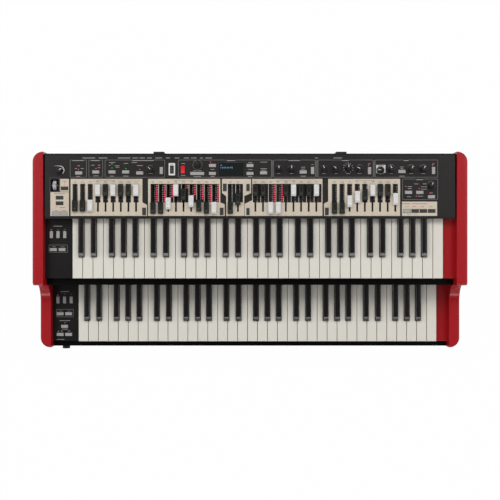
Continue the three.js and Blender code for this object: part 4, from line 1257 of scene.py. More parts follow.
class ORGAN_OT_manuals(OrganOperator):
    """Both manuals: combs of naturals and sharps with their arms and rails"""

    bl_idname = "organ.manuals"
    bl_label = "Manuals"

    def build(self):
        """Makes three combs for each manual."""
        for manual in ("lower", "upper"):
            low, high = span(manual + "_naturals_cegb")
            pitch = (high[0] - low[0] + KEY_GAP) / NATURALS
            origin = Vector((low[0] - KEY_GAP / 2, low[1], high[2]))
            for comb, notes in COMB_NOTES.items():
                self.naturals(manual, comb, notes, origin, pitch)
            self.sharps(manual, origin, pitch)

    def plan(self, index, pitch):
        """A natural's outline from above, cut back beside the sharps next to it."""
        left = index * pitch
        note = index % OCTAVE
        before = (index - 1) % OCTAVE
        half = SHARP_WIDTH / 2 + SHARP_CLEARANCE
        x0 = left + KEY_GAP / 2
        x1 = left + pitch - KEY_GAP / 2
        tail0 = left + SHARP_OFFSETS[before] * pitch + half if before in SHARP_OFFSETS and index > 0 else x0
        last = index == NATURALS - 1
        tail1 = left + (1 + SHARP_OFFSETS[note]) * pitch - half if note in SHARP_OFFSETS and not last else x1
        shoulder = SHARP_FRONT - SHOULDER_CLEARANCE
        points = [(x0, 0.0), (x1, 0.0)]
        if tail1 != x1:
            points += [(x1, shoulder), (tail1, shoulder)]
        points += [(tail1, BODY_LENGTH), (tail0, BODY_LENGTH)]
        if tail0 != x0:
            points += [(tail0, shoulder), (x0, shoulder)]
        return points, tail0, tail1

    def natural(self, form, index, pitch, level, shift=0.0):
        """One natural: a waterfall front, soft edges, its lip and the arm to the rail."""
        points, tail0, tail1 = self.plan(index, pitch)
        front_radius = size("key_front_radius")
        edge = size("key_edge")
        heights = [-KEY_BODY, -front_radius]
        heights += [-front_radius * (1 - math.sin(math.pi / 2 * step / 6)) for step in range(1, 6)]
        heights += [-edge, -edge * 0.5, -edge * 0.15, 0.0]
        rings = []
        for height in sorted(set(round(value, 4) for value in heights)):
            front = eased(front_radius, -height)
            sides = eased(edge, -height)
            rings.append([(x + shift, y, height) for x, y in shifted(points, sides, front)])
        form.loft(rings)
        x0, x1 = points[0][0] + shift, points[1][0] + shift
        form.slab((x0, x1), (0.0, LIP_DEPTH), (-LIP_DROP, -KEY_BODY), 0.04)
        form.slab(
            (tail0 + shift + 0.4, tail1 + shift - 0.4), (BODY_LENGTH - 1.0, HINGE_REACH - RAIL_HALF + 1.0),
            (level - RAIL_SHEET, level), 0.3,
        )

    def rail(self, level, pitch):
        """The rail at the rear that carries one comb's keys."""
        form = Form()
        form.slab(
            (KEY_GAP / 2, NATURALS * pitch - KEY_GAP / 2),
            (HINGE_REACH - RAIL_HALF, HINGE_REACH + RAIL_HALF), (level - RAIL_SHEET, level), 0.3,
        )
        return form

    def row(self, node, octave, last, rail, origin, pitch, looks, slot_name):
        """One comb, baked from its octave, last key and rail, and laid at its manual."""
        # Faces that look sideways, the naturals' sides, take the second finish: a darker tan that paints the
        # shade in the gaps between keys.
        def side(face):
            return abs(face.normal.x) > 0.6 and face.center.y > 0.001

        forms = [
            form_object(node + "_octave", octave, side), form_object(node + "_last", last, side),
            form_object(node + "_rail", rail, side),
        ]
        mesh = followed(node + "_row", points_mesh(node + "_start", [(0.0, 0.0, 0.0)]), manual_rule(), {
            "Octave": forms[0], "Last Key": forms[1], "Rail": forms[2], "Octaves": OCTAVES,
            "Octave Width": OCTAVE * pitch * MM,
            "Finish": finish(looks[0]), "Second Finish": finish(looks[1]),
        })
        cleared(*forms)
        mesh.transform(Matrix.Translation(origin * MM))
        in_place_of(node, "keys", mesh, ())

    def naturals(self, manual, comb, notes, origin, pitch):
        """A comb of naturals."""
        level = COMB_LEVELS[comb]
        octave = Form()
        for note in notes:
            self.natural(octave, note if note else OCTAVE, pitch, level, 0.0 if note else -OCTAVE * pitch)
        last = Form()
        if 0 in notes:
            self.natural(last, NATURALS - 1, pitch, level)
        else:
            last = self.rail(level, pitch)
        self.row(f"{manual}_naturals_{comb}", octave, last, self.rail(level, pitch), origin, pitch,
                 ("ivory", "ivory_side"), "natural_key")

    def sharp(self, form, x):
        """One sharp: a sloping front, a rounded crown and shoulders, and its arm."""
        crown = size("sharp_edge")
        rear = SHARP_FRONT + SHARP_LENGTH
        tops = [(SHARP_FRONT + along, height) for along, height in SHARP_FRONT_PROFILE]
        tops += [(SHARP_FRONT + SHARP_LENGTH / 2, SHARP_HEIGHT)]
        tops += [(rear - along, SHARP_HEIGHT - drop) for along, drop in ((2.0, 0.0), (0.5, 0.3), (0.0, 0.9))]
        taper = (SHARP_WIDTH - SHARP_TOP_WIDTH) / 2 / (SHARP_HEIGHT + KEY_BODY)
        rings = []
        for y, top in tops:
            radius = min(crown, max(top + 1.0, 0.3), 0.45 + max(y - SHARP_FRONT - 7.0, 0.0) * 0.2)
            half_top = SHARP_WIDTH / 2 - taper * (top + KEY_BODY)
            ring = [(x - SHARP_WIDTH / 2, y, -KEY_BODY), (x + SHARP_WIDTH / 2, y, -KEY_BODY)]
            middle = half_top - radius
            edges = [arc(x + hand * middle, top - 0.35 - radius, radius, start, start + 90, 5)
                     for hand, start in ((1, 0), (-1, 90))]
            rings.append(ring + [(across, y, up) for across, up in edges[0] + [(x, top)] + edges[1]])
        form.loft(rings)
        level = COMB_LEVELS["sharps"]
        form.slab(
            (x - SHARP_WIDTH / 2 + 0.4, x + SHARP_WIDTH / 2 - 0.4),
            (rear - 1.0, HINGE_REACH - RAIL_HALF + 1.0), (level - RAIL_SHEET, level), 0.3,
        )

    def sharps(self, manual, origin, pitch):
        """The comb of sharps."""
        octave = Form()
        for note, offset in SHARP_OFFSETS.items():
            self.sharp(octave, (note + 1 + offset) * pitch)
        rail = self.rail(COMB_LEVELS["sharps"], pitch)
        spare = self.rail(COMB_LEVELS["sharps"], pitch)
        self.row(manual + "_sharps", octave, spare, rail, origin, pitch, ("ebony", "ebony"), "sharp_key")


# Short marks on the lower block: X, distance from its front and length
LOWER_MARKS = (
    (-440.1, 48.1, 25.0), (-439.6, 43.2, 3.0), (-438.8, 27.9, 13.5), (-447.3, 23.4, 5.4), (-429.8, 23.4, 6.3),
    (-449.7, 3.5, 17.0),
)


# Each block's frame across and along, its heading, its lamps and the marks over its switches. What lies
# along it is a distance from its front.
BLOCK_MARKS = (
    ("upper", (-460.3, -417.3), (59.4, 76.8), 119.8, (("lamp_red", -455.0, 111.4),), (-439.2, -423.7)),
    ("lower", (-460.3, -419.3), (56.7, 75.3), 117.3,
     (("lamp_red", -456.8, 109.0), ("lamp_green", -455.1, 23.0)), (-440.2, -424.4)),
)


class ORGAN_OT_blocks(OrganOperator):
    """Black blocks to the left of the manuals, the chassis under the keys and the marks on the blocks"""

    bl_idname = "organ.blocks"
    bl_label = "Left Blocks and Chassis"

    def build(self):
        """Makes blocks, chassis, frames, lamps and marks."""
        for manual in ("upper", "lower"):
            node = manual + "_left_block"
            in_place_of(node, "moulded", refined(node, 0.7, 3), ("block_plastic",))
            node = manual + "_keybed"
            in_place_of(node, "folded", refined(node, size("sheet_edge")), ("chassis_steel",))
        self.marks()

    def marks(self):
        """Frame, lamps and short marks on each block."""
        thick = size("print_height")
        prints = Form()
        dim = Form()
        for manual, frame_across, frame_along, label, lamps, tops in BLOCK_MARKS:
            low, high = span(manual + "_left_block")
            top = high[2]
            front = low[1]
            heights = (top - 0.05, top + thick)
            centre = (sum(frame_across) / 2, front + sum(frame_along) / 2)
            # Painted shade: black strips along both ends of each block's top stand for the shade of the gaps
            # beside the cheek and the keys.
            for x in (low[0] + 1.2, high[0] - 5.4):
                dim.bar((x, x + 4.2), (front + 4.0, high[1] - 1.2), heights, 1)
            wide = frame_across[1] - frame_across[0]
            deep = frame_along[1] - frame_along[0]
            dim.frame(centre, (wide, deep, 2.0), (wide - 1.6, deep - 1.6, 1.4), heights)
            prints.bar((-450.0, -430.0), (front + label - 1.0, front + label + 0.4), heights)
            for x, along, length in LOWER_MARKS if manual == "lower" else ():
                prints.stroke(x, front + along, length, 1.2, heights)
            for x in tops:
                dim.stroke(x, front + 111.4, 4.4, 0.8, heights)
            for x in (centre[0] - 10.0, centre[0] + 10.0):
                dim.stroke(x, front + frame_along[1] - 4.1, 8.4, 1.0, heights)
            for look, x, along in lamps:
                lamp = lamp_dome(Form(), (x, front + along, top))
                piece(f"{manual}_block_{look}", lamp, (look,))
        piece("block_labels", prints, ("grey_print",))
        piece("block_frames", dim, ("dim_print", "black_print"))


def lamp_dome(form, place):
    """A small round lamp: a low dome in a thin collar."""
    radius = size("lamp_radius")
    return form.lathe(place, [
        (radius, -0.3), (radius, 0.18), (radius * 0.92, 0.42), (radius * 0.7, 0.66), (radius * 0.36, 0.82),
        (0.02, 0.86),
    ], 16)


# Places on the panel. Each is X and the distance from the panel's front edge.
CREAM_AREAS = {
    "left": [(-406.3, 6.1), (-233.2, 6.1), (-233.2, 31.0), (-243.7, 36.7), (-243.7, 89.9), (-406.3, 89.9)],
    "main": [(-230.8, 6.1), (-57.3, 6.1), (-57.3, 32.6), (-67.3, 36.5), (-67.3, 89.9), (-230.8, 89.9)],
    "bass": [(-54.1, 6.1), (-13.0, 6.1), (-13.0, 51.0), (2.5, 58.0), (2.5, 89.9), (-63.4, 89.9),
             (-63.4, 58.0), (-54.1, 51.0)],
    "right": [(-12.0, 6.1), (164.0, 6.1), (164.0, 89.9), (5.0, 89.9), (5.0, 41.6), (-12.0, 33.5)],
    "far": [(167.6, 6.1), (339.9, 6.1), (339.9, 89.9), (177.0, 89.9), (177.0, 39.0), (167.6, 34.0)],
    "speed": [(-430.0, 60.9), (-409.9, 60.9), (-409.9, 89.9), (-430.0, 89.9)],
    "lower_left": [(-452.0, 6.1), (-409.9, 6.1), (-409.9, 59.8), (-452.0, 59.8)],
    "lower_right": [(344.0, 6.1), (423.7, 6.1), (423.7, 38.5), (344.0, 38.5)],
}
THIN_FRAMES = [
    (-407.5, -370.0, 93.3, 133.1, -402.4, -376.2), (-365.3, -333.1, 93.3, 133.1, -360.3, -340.5),
    (-328.6, -192.7, 93.3, 133.1, -267.4, -218.1), (-162.6, 48.9, 93.3, 133.1, -52.6, -33.6),
    (53.0, 147.9, 93.3, 133.1, 87.2, 113.4), (153.8, 279.2, 93.3, 133.1, 208.0, 224.0),
    (283.1, 425.5, 93.3, 133.1, 348.0, 359.0), (345.1, 425.5, 42.6, 89.9, 376.6, 391.7),
]
# Gaps between frames that a band of lighter print fills
FRAME_GAPS = ((48.9, 53.0), (147.9, 153.8), (279.2, 283.1))
# Right ends of the dark plates beside the last bars
WINDOW_PLATES = {"main": -70.2, "bass": -16.0, "right": 162.0}
# Painted highlights: crescents of light print round knobs that stand for the glint on each knob's skirt. From
# and to in degrees, radius and greatest width
KNOB_GLINTS = (
    ("master_knob", -60, 110, 10.2, 1.9), ("delay_tone_knob", 40, 150, 9.6, 0.7),
    ("amp_drive_knob", 20, 160, 9.4, 0.7), ("amp_bass_knob", 30, 150, 9.6, 0.8),
    ("amp_middle_knob", 30, 150, 9.6, 0.8), ("amp_treble_knob", 30, 150, 9.6, 0.8),
    ("tremolo_knob", 60, 150, 10.4, 0.8), ("reverb_knob", 40, 150, 9.8, 0.6),
)
REAR_LABELS = [
    (-379.8, -350.8), (-342.6, -323.1), (-298.9, -271.1), (-266.5, -253.6), (-250.2, -237.8),
    (-233.2, -221.9), (-214.4, -199.3), (-190.2, -181.2), (-170.5, -160.1), (-149.7, -138.1),
    (-133.6, -120.9), (-113.2, -106.9), (-101.4, -86.1), (147.2, 154.0), (188.9, 208.3),
]
SHORT_LABELS = [
    (-435.0, 119.5, 15.0), (-389.0, 95.6, 9.0), (-349.0, 96.8, 12.0), (-312.8, 96.2, 9.0),
    (-281.0, 96.2, 12.0), (-249.5, 120.0, 13.0), (-225.4, 102.0, 10.0), (-151.4, 124.6, 8.0),
    (-151.4, 98.0, 10.0), (-119.4, 108.0, 20.0), (-119.4, 95.0, 16.0), (-84.9, 111.5, 9.0),
    (-84.9, 95.2, 9.0), (0.5, 127.0, 9.0), (0.5, 111.4, 9.0), (0.5, 95.2, 9.0), (31.0, 128.0, 16.0),
    (31.0, 113.0, 15.0), (31.0, 109.6, 11.0), (65.0, 102.0, 8.0), (94.0, 102.0, 8.0), (120.5, 116.5, 9.0),
    (120.5, 112.0, 9.0), (120.5, 96.2, 12.0), (141.6, 122.0, 5.0), (167.4, 102.0, 8.0), (194.7, 102.0, 7.0),
    (222.4, 102.0, 9.0), (248.2, 102.0, 9.0), (270.4, 124.0, 5.0), (320.0, 102.0, 7.0), (344.0, 96.2, 12.0),
    (344.0, 117.0, 8.0), (344.0, 113.4, 6.0), (365.0, 102.0, 9.0), (392.0, 102.0, 9.0), (415.0, 124.0, 5.0),
    (362.0, 72.4, 10.0), (362.0, 68.0, 9.0), (394.0, 72.0, 14.0), (394.0, 66.6, 14.0),
    (360.0, 49.6, 9.0), (386.0, 50.8, 12.0), (411.5, 58.2, 5.0), (376.6, 78.6, 9.0), (396.0, 78.6, 9.0),
    (-388.0, 119.6, 6.0), (-380.0, 113.2, 7.0), (-394.0, 113.2, 5.0), (-356.0, 121.0, 8.0),
    (-342.0, 121.0, 5.0), (-342.0, 115.2, 6.0), (-301.0, 119.6, 11.0), (-300.0, 116.2, 8.0),
    (-318.0, 120.6, 4.0), (-281.0, 125.0, 10.0), (-312.0, 127.0, 14.0), (-262.0, 127.0, 12.0),
]
DARK_LABELS = [
    (-420.0, 84.8, 11.0), (-420.0, 81.6, 3.0), (-431.0, 56.6, 26.0), (-425.0, 25.0, 12.0),
    (-439.0, 18.0, 9.0), (-421.0, 18.0, 9.0), (352.0, 33.6, 22.0), (384.0, 33.6, 34.0), (357.4, 27.0, 4.0),
    (373.4, 27.0, 4.0), (391.5, 27.0, 4.0), (411.0, 27.0, 4.0), (361.0, 10.4, 12.0), (375.0, 10.4, 8.0),
]
RED_LAMPS = [
    (-388.4, 111.2), (-348.7, 113.5), (-249.5, 111.4), (-89.4, 128.2), (268.1, 120.9), (413.3, 120.9),
    (352.6, 72.9), (383.2, 67.9), (376.6, 51.2), (407.8, 58.0), (-420.3, 77.2),
    (-438.6, 26.3), (-447.2, 20.6), (-428.9, 20.6), (352.6, 27.0), (368.2, 27.0), (387.2, 27.0),
    (406.9, 27.0),
]
GREEN_LAMPS = [(-312.5, 123.6), (-312.5, 114.6), (-280.8, 113.5), (349.6, 10.6)]
DARK_LAMPS = [
    (-396.0, 116.0), (-380.6, 117.4), (-341.0, 118.6), (-356.6, 117.0), (-287.2, 120.0), (-274.4, 120.0),
    (112.0, 112.0), (129.0, 112.0), (337.0, 116.8), (352.0, 116.8), (383.2, 72.0), (383.2, 76.4),
    (352.6, 68.0),
]
FOOTAGES = ("16", "5 1/3", "8", "4", "2 2/3", "2", "1 3/5", "1 1/3", "1")
KNOB_TURNS = {
    "master_knob": -60, "tremolo_knob": 40, "delay_tempo_knob": 20, "delay_mix_knob": 50,
    "delay_tone_knob": 70, "amp_drive_knob": 90, "amp_bass_knob": 30, "amp_middle_knob": -20,
    "amp_treble_knob": -30, "reverb_knob": -25,
}
BED = PANEL_TOP - 3.3
LEVER_WELL = (-442.4, PANEL_FRONT + 76.5)
KNOBS = sorted(name for name in NODES if name.endswith("_knob"))


def printed(above=0.0, below=0.05):
    """Lowest and highest Z of what is printed on the panel."""
    return PANEL_TOP - below, PANEL_TOP + size("print_height") + above


def straightened(points):
    """An outline without the points that lie on a straight stretch of it."""
    kept = []
    count = len(points)
    for index, point in enumerate(points):
        before = points[index - 1]
        after = points[(index + 1) % count]
        turn = (point[0] - before[0]) * (after[1] - point[1]) - (point[1] - before[1]) * (after[0] - point[0])
        if abs(turn) > 0.001:
            kept.append(point)
    return kept


def shifted(points, amount, first_amount=None):
    """An outline with every edge moved to its left. The first edge can have its own amount."""
    count = len(points)
    moved = []
    for index, (x, y) in enumerate(points):
        for start in ((index - 1) % count, index):
            (ax, ay), (bx, by) = points[start], points[(start + 1) % count]
            share = (amount if start or first_amount is None else first_amount) / math.hypot(bx - ax, by - ay)
            x -= (by - ay) * share
            y += (bx - ax) * share
        moved.append((x, y))
    return moved


class ORGAN_OT_panel(OrganOperator):
    """Control panel with its printed areas, frames and marks"""

    bl_idname = "organ.panel"
    bl_label = "Control Panel"

    def build(self):
        """Makes the panel's sheet and all that is printed on it."""
        piece("panel_sheet", refined("control_panel", size("sheet_edge")), ("panel_paint",), "root",
              ("control_panel",))
        self.cream()
        self.frames()
        self.labels()
        self.scales()

    def cream(self):
        """Cream areas with the panel's openings left free."""
        openings = [straightened(loop) for loop in loops_at("control_panel", PANEL_TOP)]
        openings = [loop for loop in openings if len(loop) > 3]
        for name, area in CREAM_AREAS.items():
            outline = [(x, PANEL_FRONT + v) for x, v in area]
            x0, x1, y0, y1 = reach(outline)
            holes = []
            for loop in openings:
                a0, a1, b0, b1 = reach(loop)
                if a0 > x0 and a1 < x1 and b0 > y0 and b1 < y1:
                    holes.append(shifted(loop, 0.25))
            mesh = filled("cream_" + name, [outline] + holes, printed())
            piece("cream_print_" + name, mesh, ("cream",))
        dark = Form()
        for name, plate_end in WINDOW_PLATES.items():
            dark.bar((bars(name)[-1][0] + 5.8, plate_end), (WINDOW_FRONT, WINDOW_REAR), printed(0.04, 0.0))
        # Painted shade: a black band along the panel's rear edge stands for the shade on the edge's rounding.
        dark.bar((PANEL_LOW[0] + 0.6, PANEL_HIGH[0] - 0.6), (PANEL_FRONT + 143.8, PANEL_HIGH[1] - 0.6),
                 printed())
        dark.frame(LEVER_WELL, (21.4, 31.0, 2.2), (16.4, 26.8, 0.6), printed(0.25))
        piece("window_edge_print", dark, ("black_print",))

    def frames(self):
        """Thin frames round the panel's sections, open where a heading stands."""
        form = Form()
        heights = printed()
        line = 0.75
        for x0, x1, v0, v1, left, right in THIN_FRAMES:
            y0, y1 = PANEL_FRONT + v0, PANEL_FRONT + v1
            middle = (x0 + x1) / 2
            paths = []
            for inset, radius in ((0.0, 1.8), (line, 1.4)):
                ring = rounded(middle, (y0 + y1) / 2, x1 - x0 - 2 * inset, y1 - y0 - 2 * inset, radius, 0)
                start = next(index for index, point in enumerate(ring) if point[0] < middle)
                ends = [(left - 1.0, y1 - inset)], [(right + 1.0, y1 - inset)]
                paths.append(ends[0] + ring[start:] + ring[:start] + ends[1])
            form.ribbon(*paths, heights)
            form.bar((left, right), (y1 - 2.4, y1 - 0.8), heights, 1)
        for x0, x1 in FRAME_GAPS:
            form.bar((x0 + 0.3, x1 - 0.3), (PANEL_FRONT + 94.0, PANEL_FRONT + 132.4), heights, 2)
        form.frame(LEVER_WELL, (22.4, 32.0, 2.4), (21.4, 31.0, 2.0), heights)
        piece("panel_frames", form, ("dim_print", "grey_print", "band_print"))

    def labels(self):
        """Short marks where the panel's small headings stand, with no words."""
        heights = printed()
        grey = Form()
        for x0, x1 in REAR_LABELS:
            grey.bar((x0, x1), (PANEL_FRONT + 136.5, PANEL_FRONT + 138.1), heights, 1)
        for x, v, length in SHORT_LABELS:
            grey.stroke(x, PANEL_FRONT + v, length, 1.2, heights)
        piece("panel_labels", grey, ("grey_print", "grey_print"))
        dark = Form()
        heights = printed(0.05, 0.0)
        for x, v, length in DARK_LABELS:
            dark.stroke(x, PANEL_FRONT + v, length, 0.8, heights)
        numerals = []
        for name in BAR_GROUPS:
            xs = [x for x, _ in bars(name)]
            whole = len(xs) == len(FOOTAGES)
            for x, word in zip(xs, FOOTAGES if whole else ("16", "8")):
                dark.stroke(x, PANEL_FRONT + 9.4, 0.6, 2.4, heights)
                dark.stroke(x, PANEL_FRONT + 83.85, 6.8, 0.5, heights)
                numerals.append(figures(word, 2.7, (x, PANEL_FRONT + 81.4, printed()[1]), 0.08))
            if whole:
                y = PANEL_FRONT + 86.0
                dark.bar((xs[3] - 3.0, xs[5] + 3.0), (y, y + 0.4), heights)
                for x in (xs[3] - 3.0, xs[5] + 1.8):
                    dark.bar((x, x + 1.2), (y - 2.5, y), heights)
        piece("cream_labels", dark, ("dark_print",))
        piece("footage_numerals", gathered("footage_numerals", numerals), ("dark_print",))

    def scales(self):
        """Scales round the knobs, crescents of painted highlight round some of them, the dial's ring and the
        drive knob's plate.
        """
        thick = size("print_height")
        level = PANEL_TOP + thick / 2
        middles = {name: middle_of(name) for name in KNOBS}
        few = [name for name in KNOBS if name not in ("master_knob", "delay_feedback_knob")]
        for name, knobs, radius, length, width, look in (
            ("knob_scales", few, 9.7, 1.0, 0.35, "dim_print"),
            ("feedback_scale", ["delay_feedback_knob"], 10.6, 2.6, 0.7, "white_print"),
        ):
            places = [(*middles[knob], level) for knob in knobs]
            piece(name, dials(name, places, 11, radius, -60.0, 300.0, (length, width, thick), look), ())
        # Painted highlights: a crescent of light print round each of these knobs stands for the glint on its
        # skirt; the master knob's is white and wide.
        painted_glint = Form()
        for name, start, end, radius, wide in KNOB_GLINTS:
            x, y = middles[name]
            outer = arc(x, y, radius, start, end, 22)
            inner = []
            for step, (px, py) in enumerate(outer):
                share = 1 - wide / radius * math.sin(math.pi * (0.12 + 0.76 * step / 22))
                inner.append((x + (px - x) * share, y + (py - y) * share))
            painted_glint.ribbon(outer, inner, printed(0.05), int(name != "master_knob"))
        piece("knob_crescents", painted_glint, ("white_print", "dim_print"))
        dial = middle_of("program_dial")
        ring = Form().hoop(*(arc(*dial, radius, 0, 350, 35) for radius in (11.0, 10.3)), printed())
        x0, x1, y0, y1 = 286.0, 306.8, PANEL_FRONT + 103.7, PANEL_FRONT + 121.6
        plate = filled("drive_plate", [
            [(x0, y0), (x1, y0), (x1, y1), (x0, y1)],
            arc(*middles["amp_drive_knob"], 8.9, 0, 350, 35),
        ], printed(0.02))
        piece("drive_plate", plate, ("white_print",))
        mark = Form().stroke(296.4, PANEL_FRONT + 120.05, 14.8, 1.1, (PANEL_TOP, PANEL_TOP + 0.2))
        piece("drive_plate_mark", mark, ("dark_print",))
        piece("dial_ring", ring, ("dim_print",))


class ORGAN_OT_windows(OrganOperator):
    """Drawbar frame under the panel, with the ladders, numerals and lamps that show in its windows"""

    bl_idname = "organ.windows"
    bl_label = "Drawbar Windows"

    lamp_width: length_property("Lamp width", "Width of one lamp beside a drawbar", 3.6)
    lamp_length: length_property("Lamp length", "Length of one lamp along a drawbar", 2.6)

    def build(self):
        """Makes the frame, and per window what is printed or lit in it."""
        self.tube()
        self.ladders()
        self.lamps()

    def tube(self):
        """The folded tube, cut off level where the standing bars rise from it."""
        form = welded("drawbar_frame")
        bmesh.ops.bisect_plane(
            form, geom=form.verts[:] + form.edges[:] + form.faces[:], dist=1e-7,
            plane_co=(0, 0, (BED + 0.02) * MM), plane_no=(0, 0, 1), clear_outer=True,
        )
        rim = [edge for edge in form.edges if edge.is_boundary]
        bmesh.ops.holes_fill(form, edges=rim, sides=0)
        flattened(form)
        bmesh.ops.recalc_face_normals(form, faces=form.faces)
        mesh = closed(form, "drawbar_tube")
        piece("drawbar_tube", mesh, ("window_bed",), "root", ("drawbar_frame",))

    def ladders(self):
        """Ticks and numerals on the bed, and the cream strips between the bars of a wide window."""
        thick = 0.12
        level = BED + 0.06
        first = PANEL_FRONT + 75.6
        grooves = Form()
        for name in ("left", "far"):
            xs = [x for x, _ in bars(name)]
            for hand, offset, look in (("left", -4.2, "dim_print"), ("right", 4.2, "white_print")):
                places = [(x + offset, first + 1.4, level) for x in xs]
                mesh = ladders(f"{name}_ladder", places, 10, 3.8, (2.0, 0.7, thick), look)
                piece(f"{name}_ladder_{hand}", mesh, ())
            for x in xs:
                along = (WINDOW_FRONT + 0.5, WINDOW_REAR - 0.5)
                grooves.bar((x - 1.5, x + 1.5), along, (BED - 0.02, BED + 0.05))
        piece("window_grooves", grooves, ("black_print",))
        places = [(x + 4.1, first, level) for x, _ in bars("bass")]
        mesh = ladders("bass_ladder", places, 13, 3.1, (2.4, 0.7, thick), "white_print")
        piece("bass_ladder", mesh, ())
        column = gathered("digit_column", [
            figures(str(step + 1), 2.3, (0.0, -step * BAR_STEP, 0.0)) for step in range(LAMPS_PER_BAR)
        ])
        places = [(x + 4.1, first - 1.0, level) for name in LIT_GROUPS for x, _ in bars(name)]
        copies("window_numerals", column, places, ("white_print",))
        strips = Form()
        along = (WINDOW_FRONT + 1.0, WINDOW_REAR - 1.0)
        for name in (*LIT_GROUPS, "bass"):
            for x, _ in bars(name)[:-1]:
                strips.bar((x + 12.2 - 0.55, x + 12.2 + 0.55), along, (BED - 0.02, PANEL_TOP - 0.4))
        piece("window_strips", strips, ("cream",))

    def lamps(self):
        """Eight lamps beside each bar of a wide window: as many are lit as the bar is pulled out."""
        wide = self.lamp_width / MM
        deep = self.lamp_length / MM
        segment = Form()
        segment.slab((-wide / 2, wide / 2), (-deep / 2, deep / 2), (-0.1, 0.9), 0.35)
        lit, unlit = [], []
        for name in LIT_GROUPS:
            for index, (x, out) in enumerate(bars(name)):
                level = BED if index < len(bars(name)) - 1 else PANEL_TOP - 0.5
                for step in range(LAMPS_PER_BAR):
                    place = (x + 8.6, PANEL_FRONT + 75.2 - step * BAR_STEP, level)
                    (lit if step < out else unlit).append(place)
        copies("bar_lamps_lit", segment, lit, ("lamp_red",))
        copies("bar_lamps_unlit", segment, unlit, ("lamp_off",))


# Where a stem ends and where a sliding bar has its foot, from the panel's top
STANDING_STEM = -3.28
SLIDING_STEM = -5.2
FOOT_LOW, FOOT_HIGH = -6.6, -5.1
# A cap from below: height, what its sides and ends draw in, corner radius and share of the finger hollow
CAP_LEVELS = (
    (0.5, 0.35, 0.35, 1.0, 0.0), (0.85, 0.05, 0.05, 1.3, 0.0), (1.3, 0.0, 0.0, 1.4, 0.0),
    (5.6, 0.0, 0.0, 1.4, 0.0), (6.1, 0.1, 0.25, 1.4, 0.0), (8.6, 0.45, 3.35, 1.5, 0.0),
    (9.2, 0.75, 4.1, 1.5, 0.0), (9.5, 1.3, 4.9, 1.4, 0.0), (9.5, 1.9, 5.6, 1.2, 0.0),
    (9.5, 2.5, 6.4, 1.0, 0.5), (9.5, 3.3, 7.6, 0.8, 0.9), (9.5, 4.3, 9.2, 0.5, 1.0),
)


class ORGAN_OT_drawbars(OrganOperator):
    """Drawbars: eleven that slide and the standing ones of the other three groups"""

    bl_idname = "organ.drawbars"
    bl_label = "Drawbars"

    def build(self):
        """Makes a piece for each sliding bar, and one for each colour of the standing ones."""
        for name in SLIDING_GROUPS:
            for index, (x, out) in enumerate(bars(name)):
                look = "white" if name == "main" and index in WHITE_BARS else "dark"
                form = Form()
                self.bar(form, (x, BAR_HOME - out * BAR_STEP, PANEL_TOP))
                in_place_of(f"drawbar_{name}_{index + 1}", "moulded", form, (look + "_cap", "stem"),
                            38.0)
        places = {"white": [], "dark": []}
        for name in STANDING_GROUPS:
            for index, (x, out) in enumerate(bars(name)):
                look = "white" if index in WHITE_BARS else "dark"
                places[look].append((x, BAR_HOME - out * BAR_STEP, PANEL_TOP))
        for look, standing in places.items():
            form = Form()
            self.bar(form, (0.0, 0.0, 0.0), standing=True)
            copies(f"standing_bars_{look}", form, standing, (f"{look}_cap", "stem"),
                   second=lambda face: face.material_index == 1, angle=38.0)

    def bar(self, form, place, standing=False):
        """One bar: a cap with a finger hollow, its stem, and its foot where it slides."""
        x, y, z = place
        dish = size("cap_dish")
        form.loft([
            rounded(x, y, CAP_WIDTH - 2 * side, CAP_LENGTH - 2 * end, corner, z + height - dish * dished, 4)
            for height, side, end, corner, dished in CAP_LEVELS
        ])
        bottom = STANDING_STEM if standing else SLIDING_STEM
        form.slab((x - 1.5, x + 1.5), (y - 7.5, y + 6.0), (z + bottom, z + 1.4), 0.25, 1)
        if not standing:
            form.slab((x - 4.5, x + 4.5), (y - 10.0, y + 10.0), (z + FOOT_LOW, z + FOOT_HIGH), 0.3, 1)


# A knob from below: its skirt, as what the radius draws in and height, then the grip's radius and height
SKIRT_PROFILE = [(0.5, 0.0), (0.0, 0.5), (0.0, 3.6), (0.25, 4.2), (0.8, 4.5)]
GRIP_PROFILE = [
    (6.9, 4.6), (6.5, 5.0), (6.42, 5.6), (6.2, 8.0), (5.95, 11.0), (5.75, 13.2), (5.55, 13.9), (5.2, 14.25),
    (4.6, 14.3), (2.5, 14.22), (0.02, 14.18),
]
FLUTES_FROM, FLUTES_TO = 5.2, 13.6


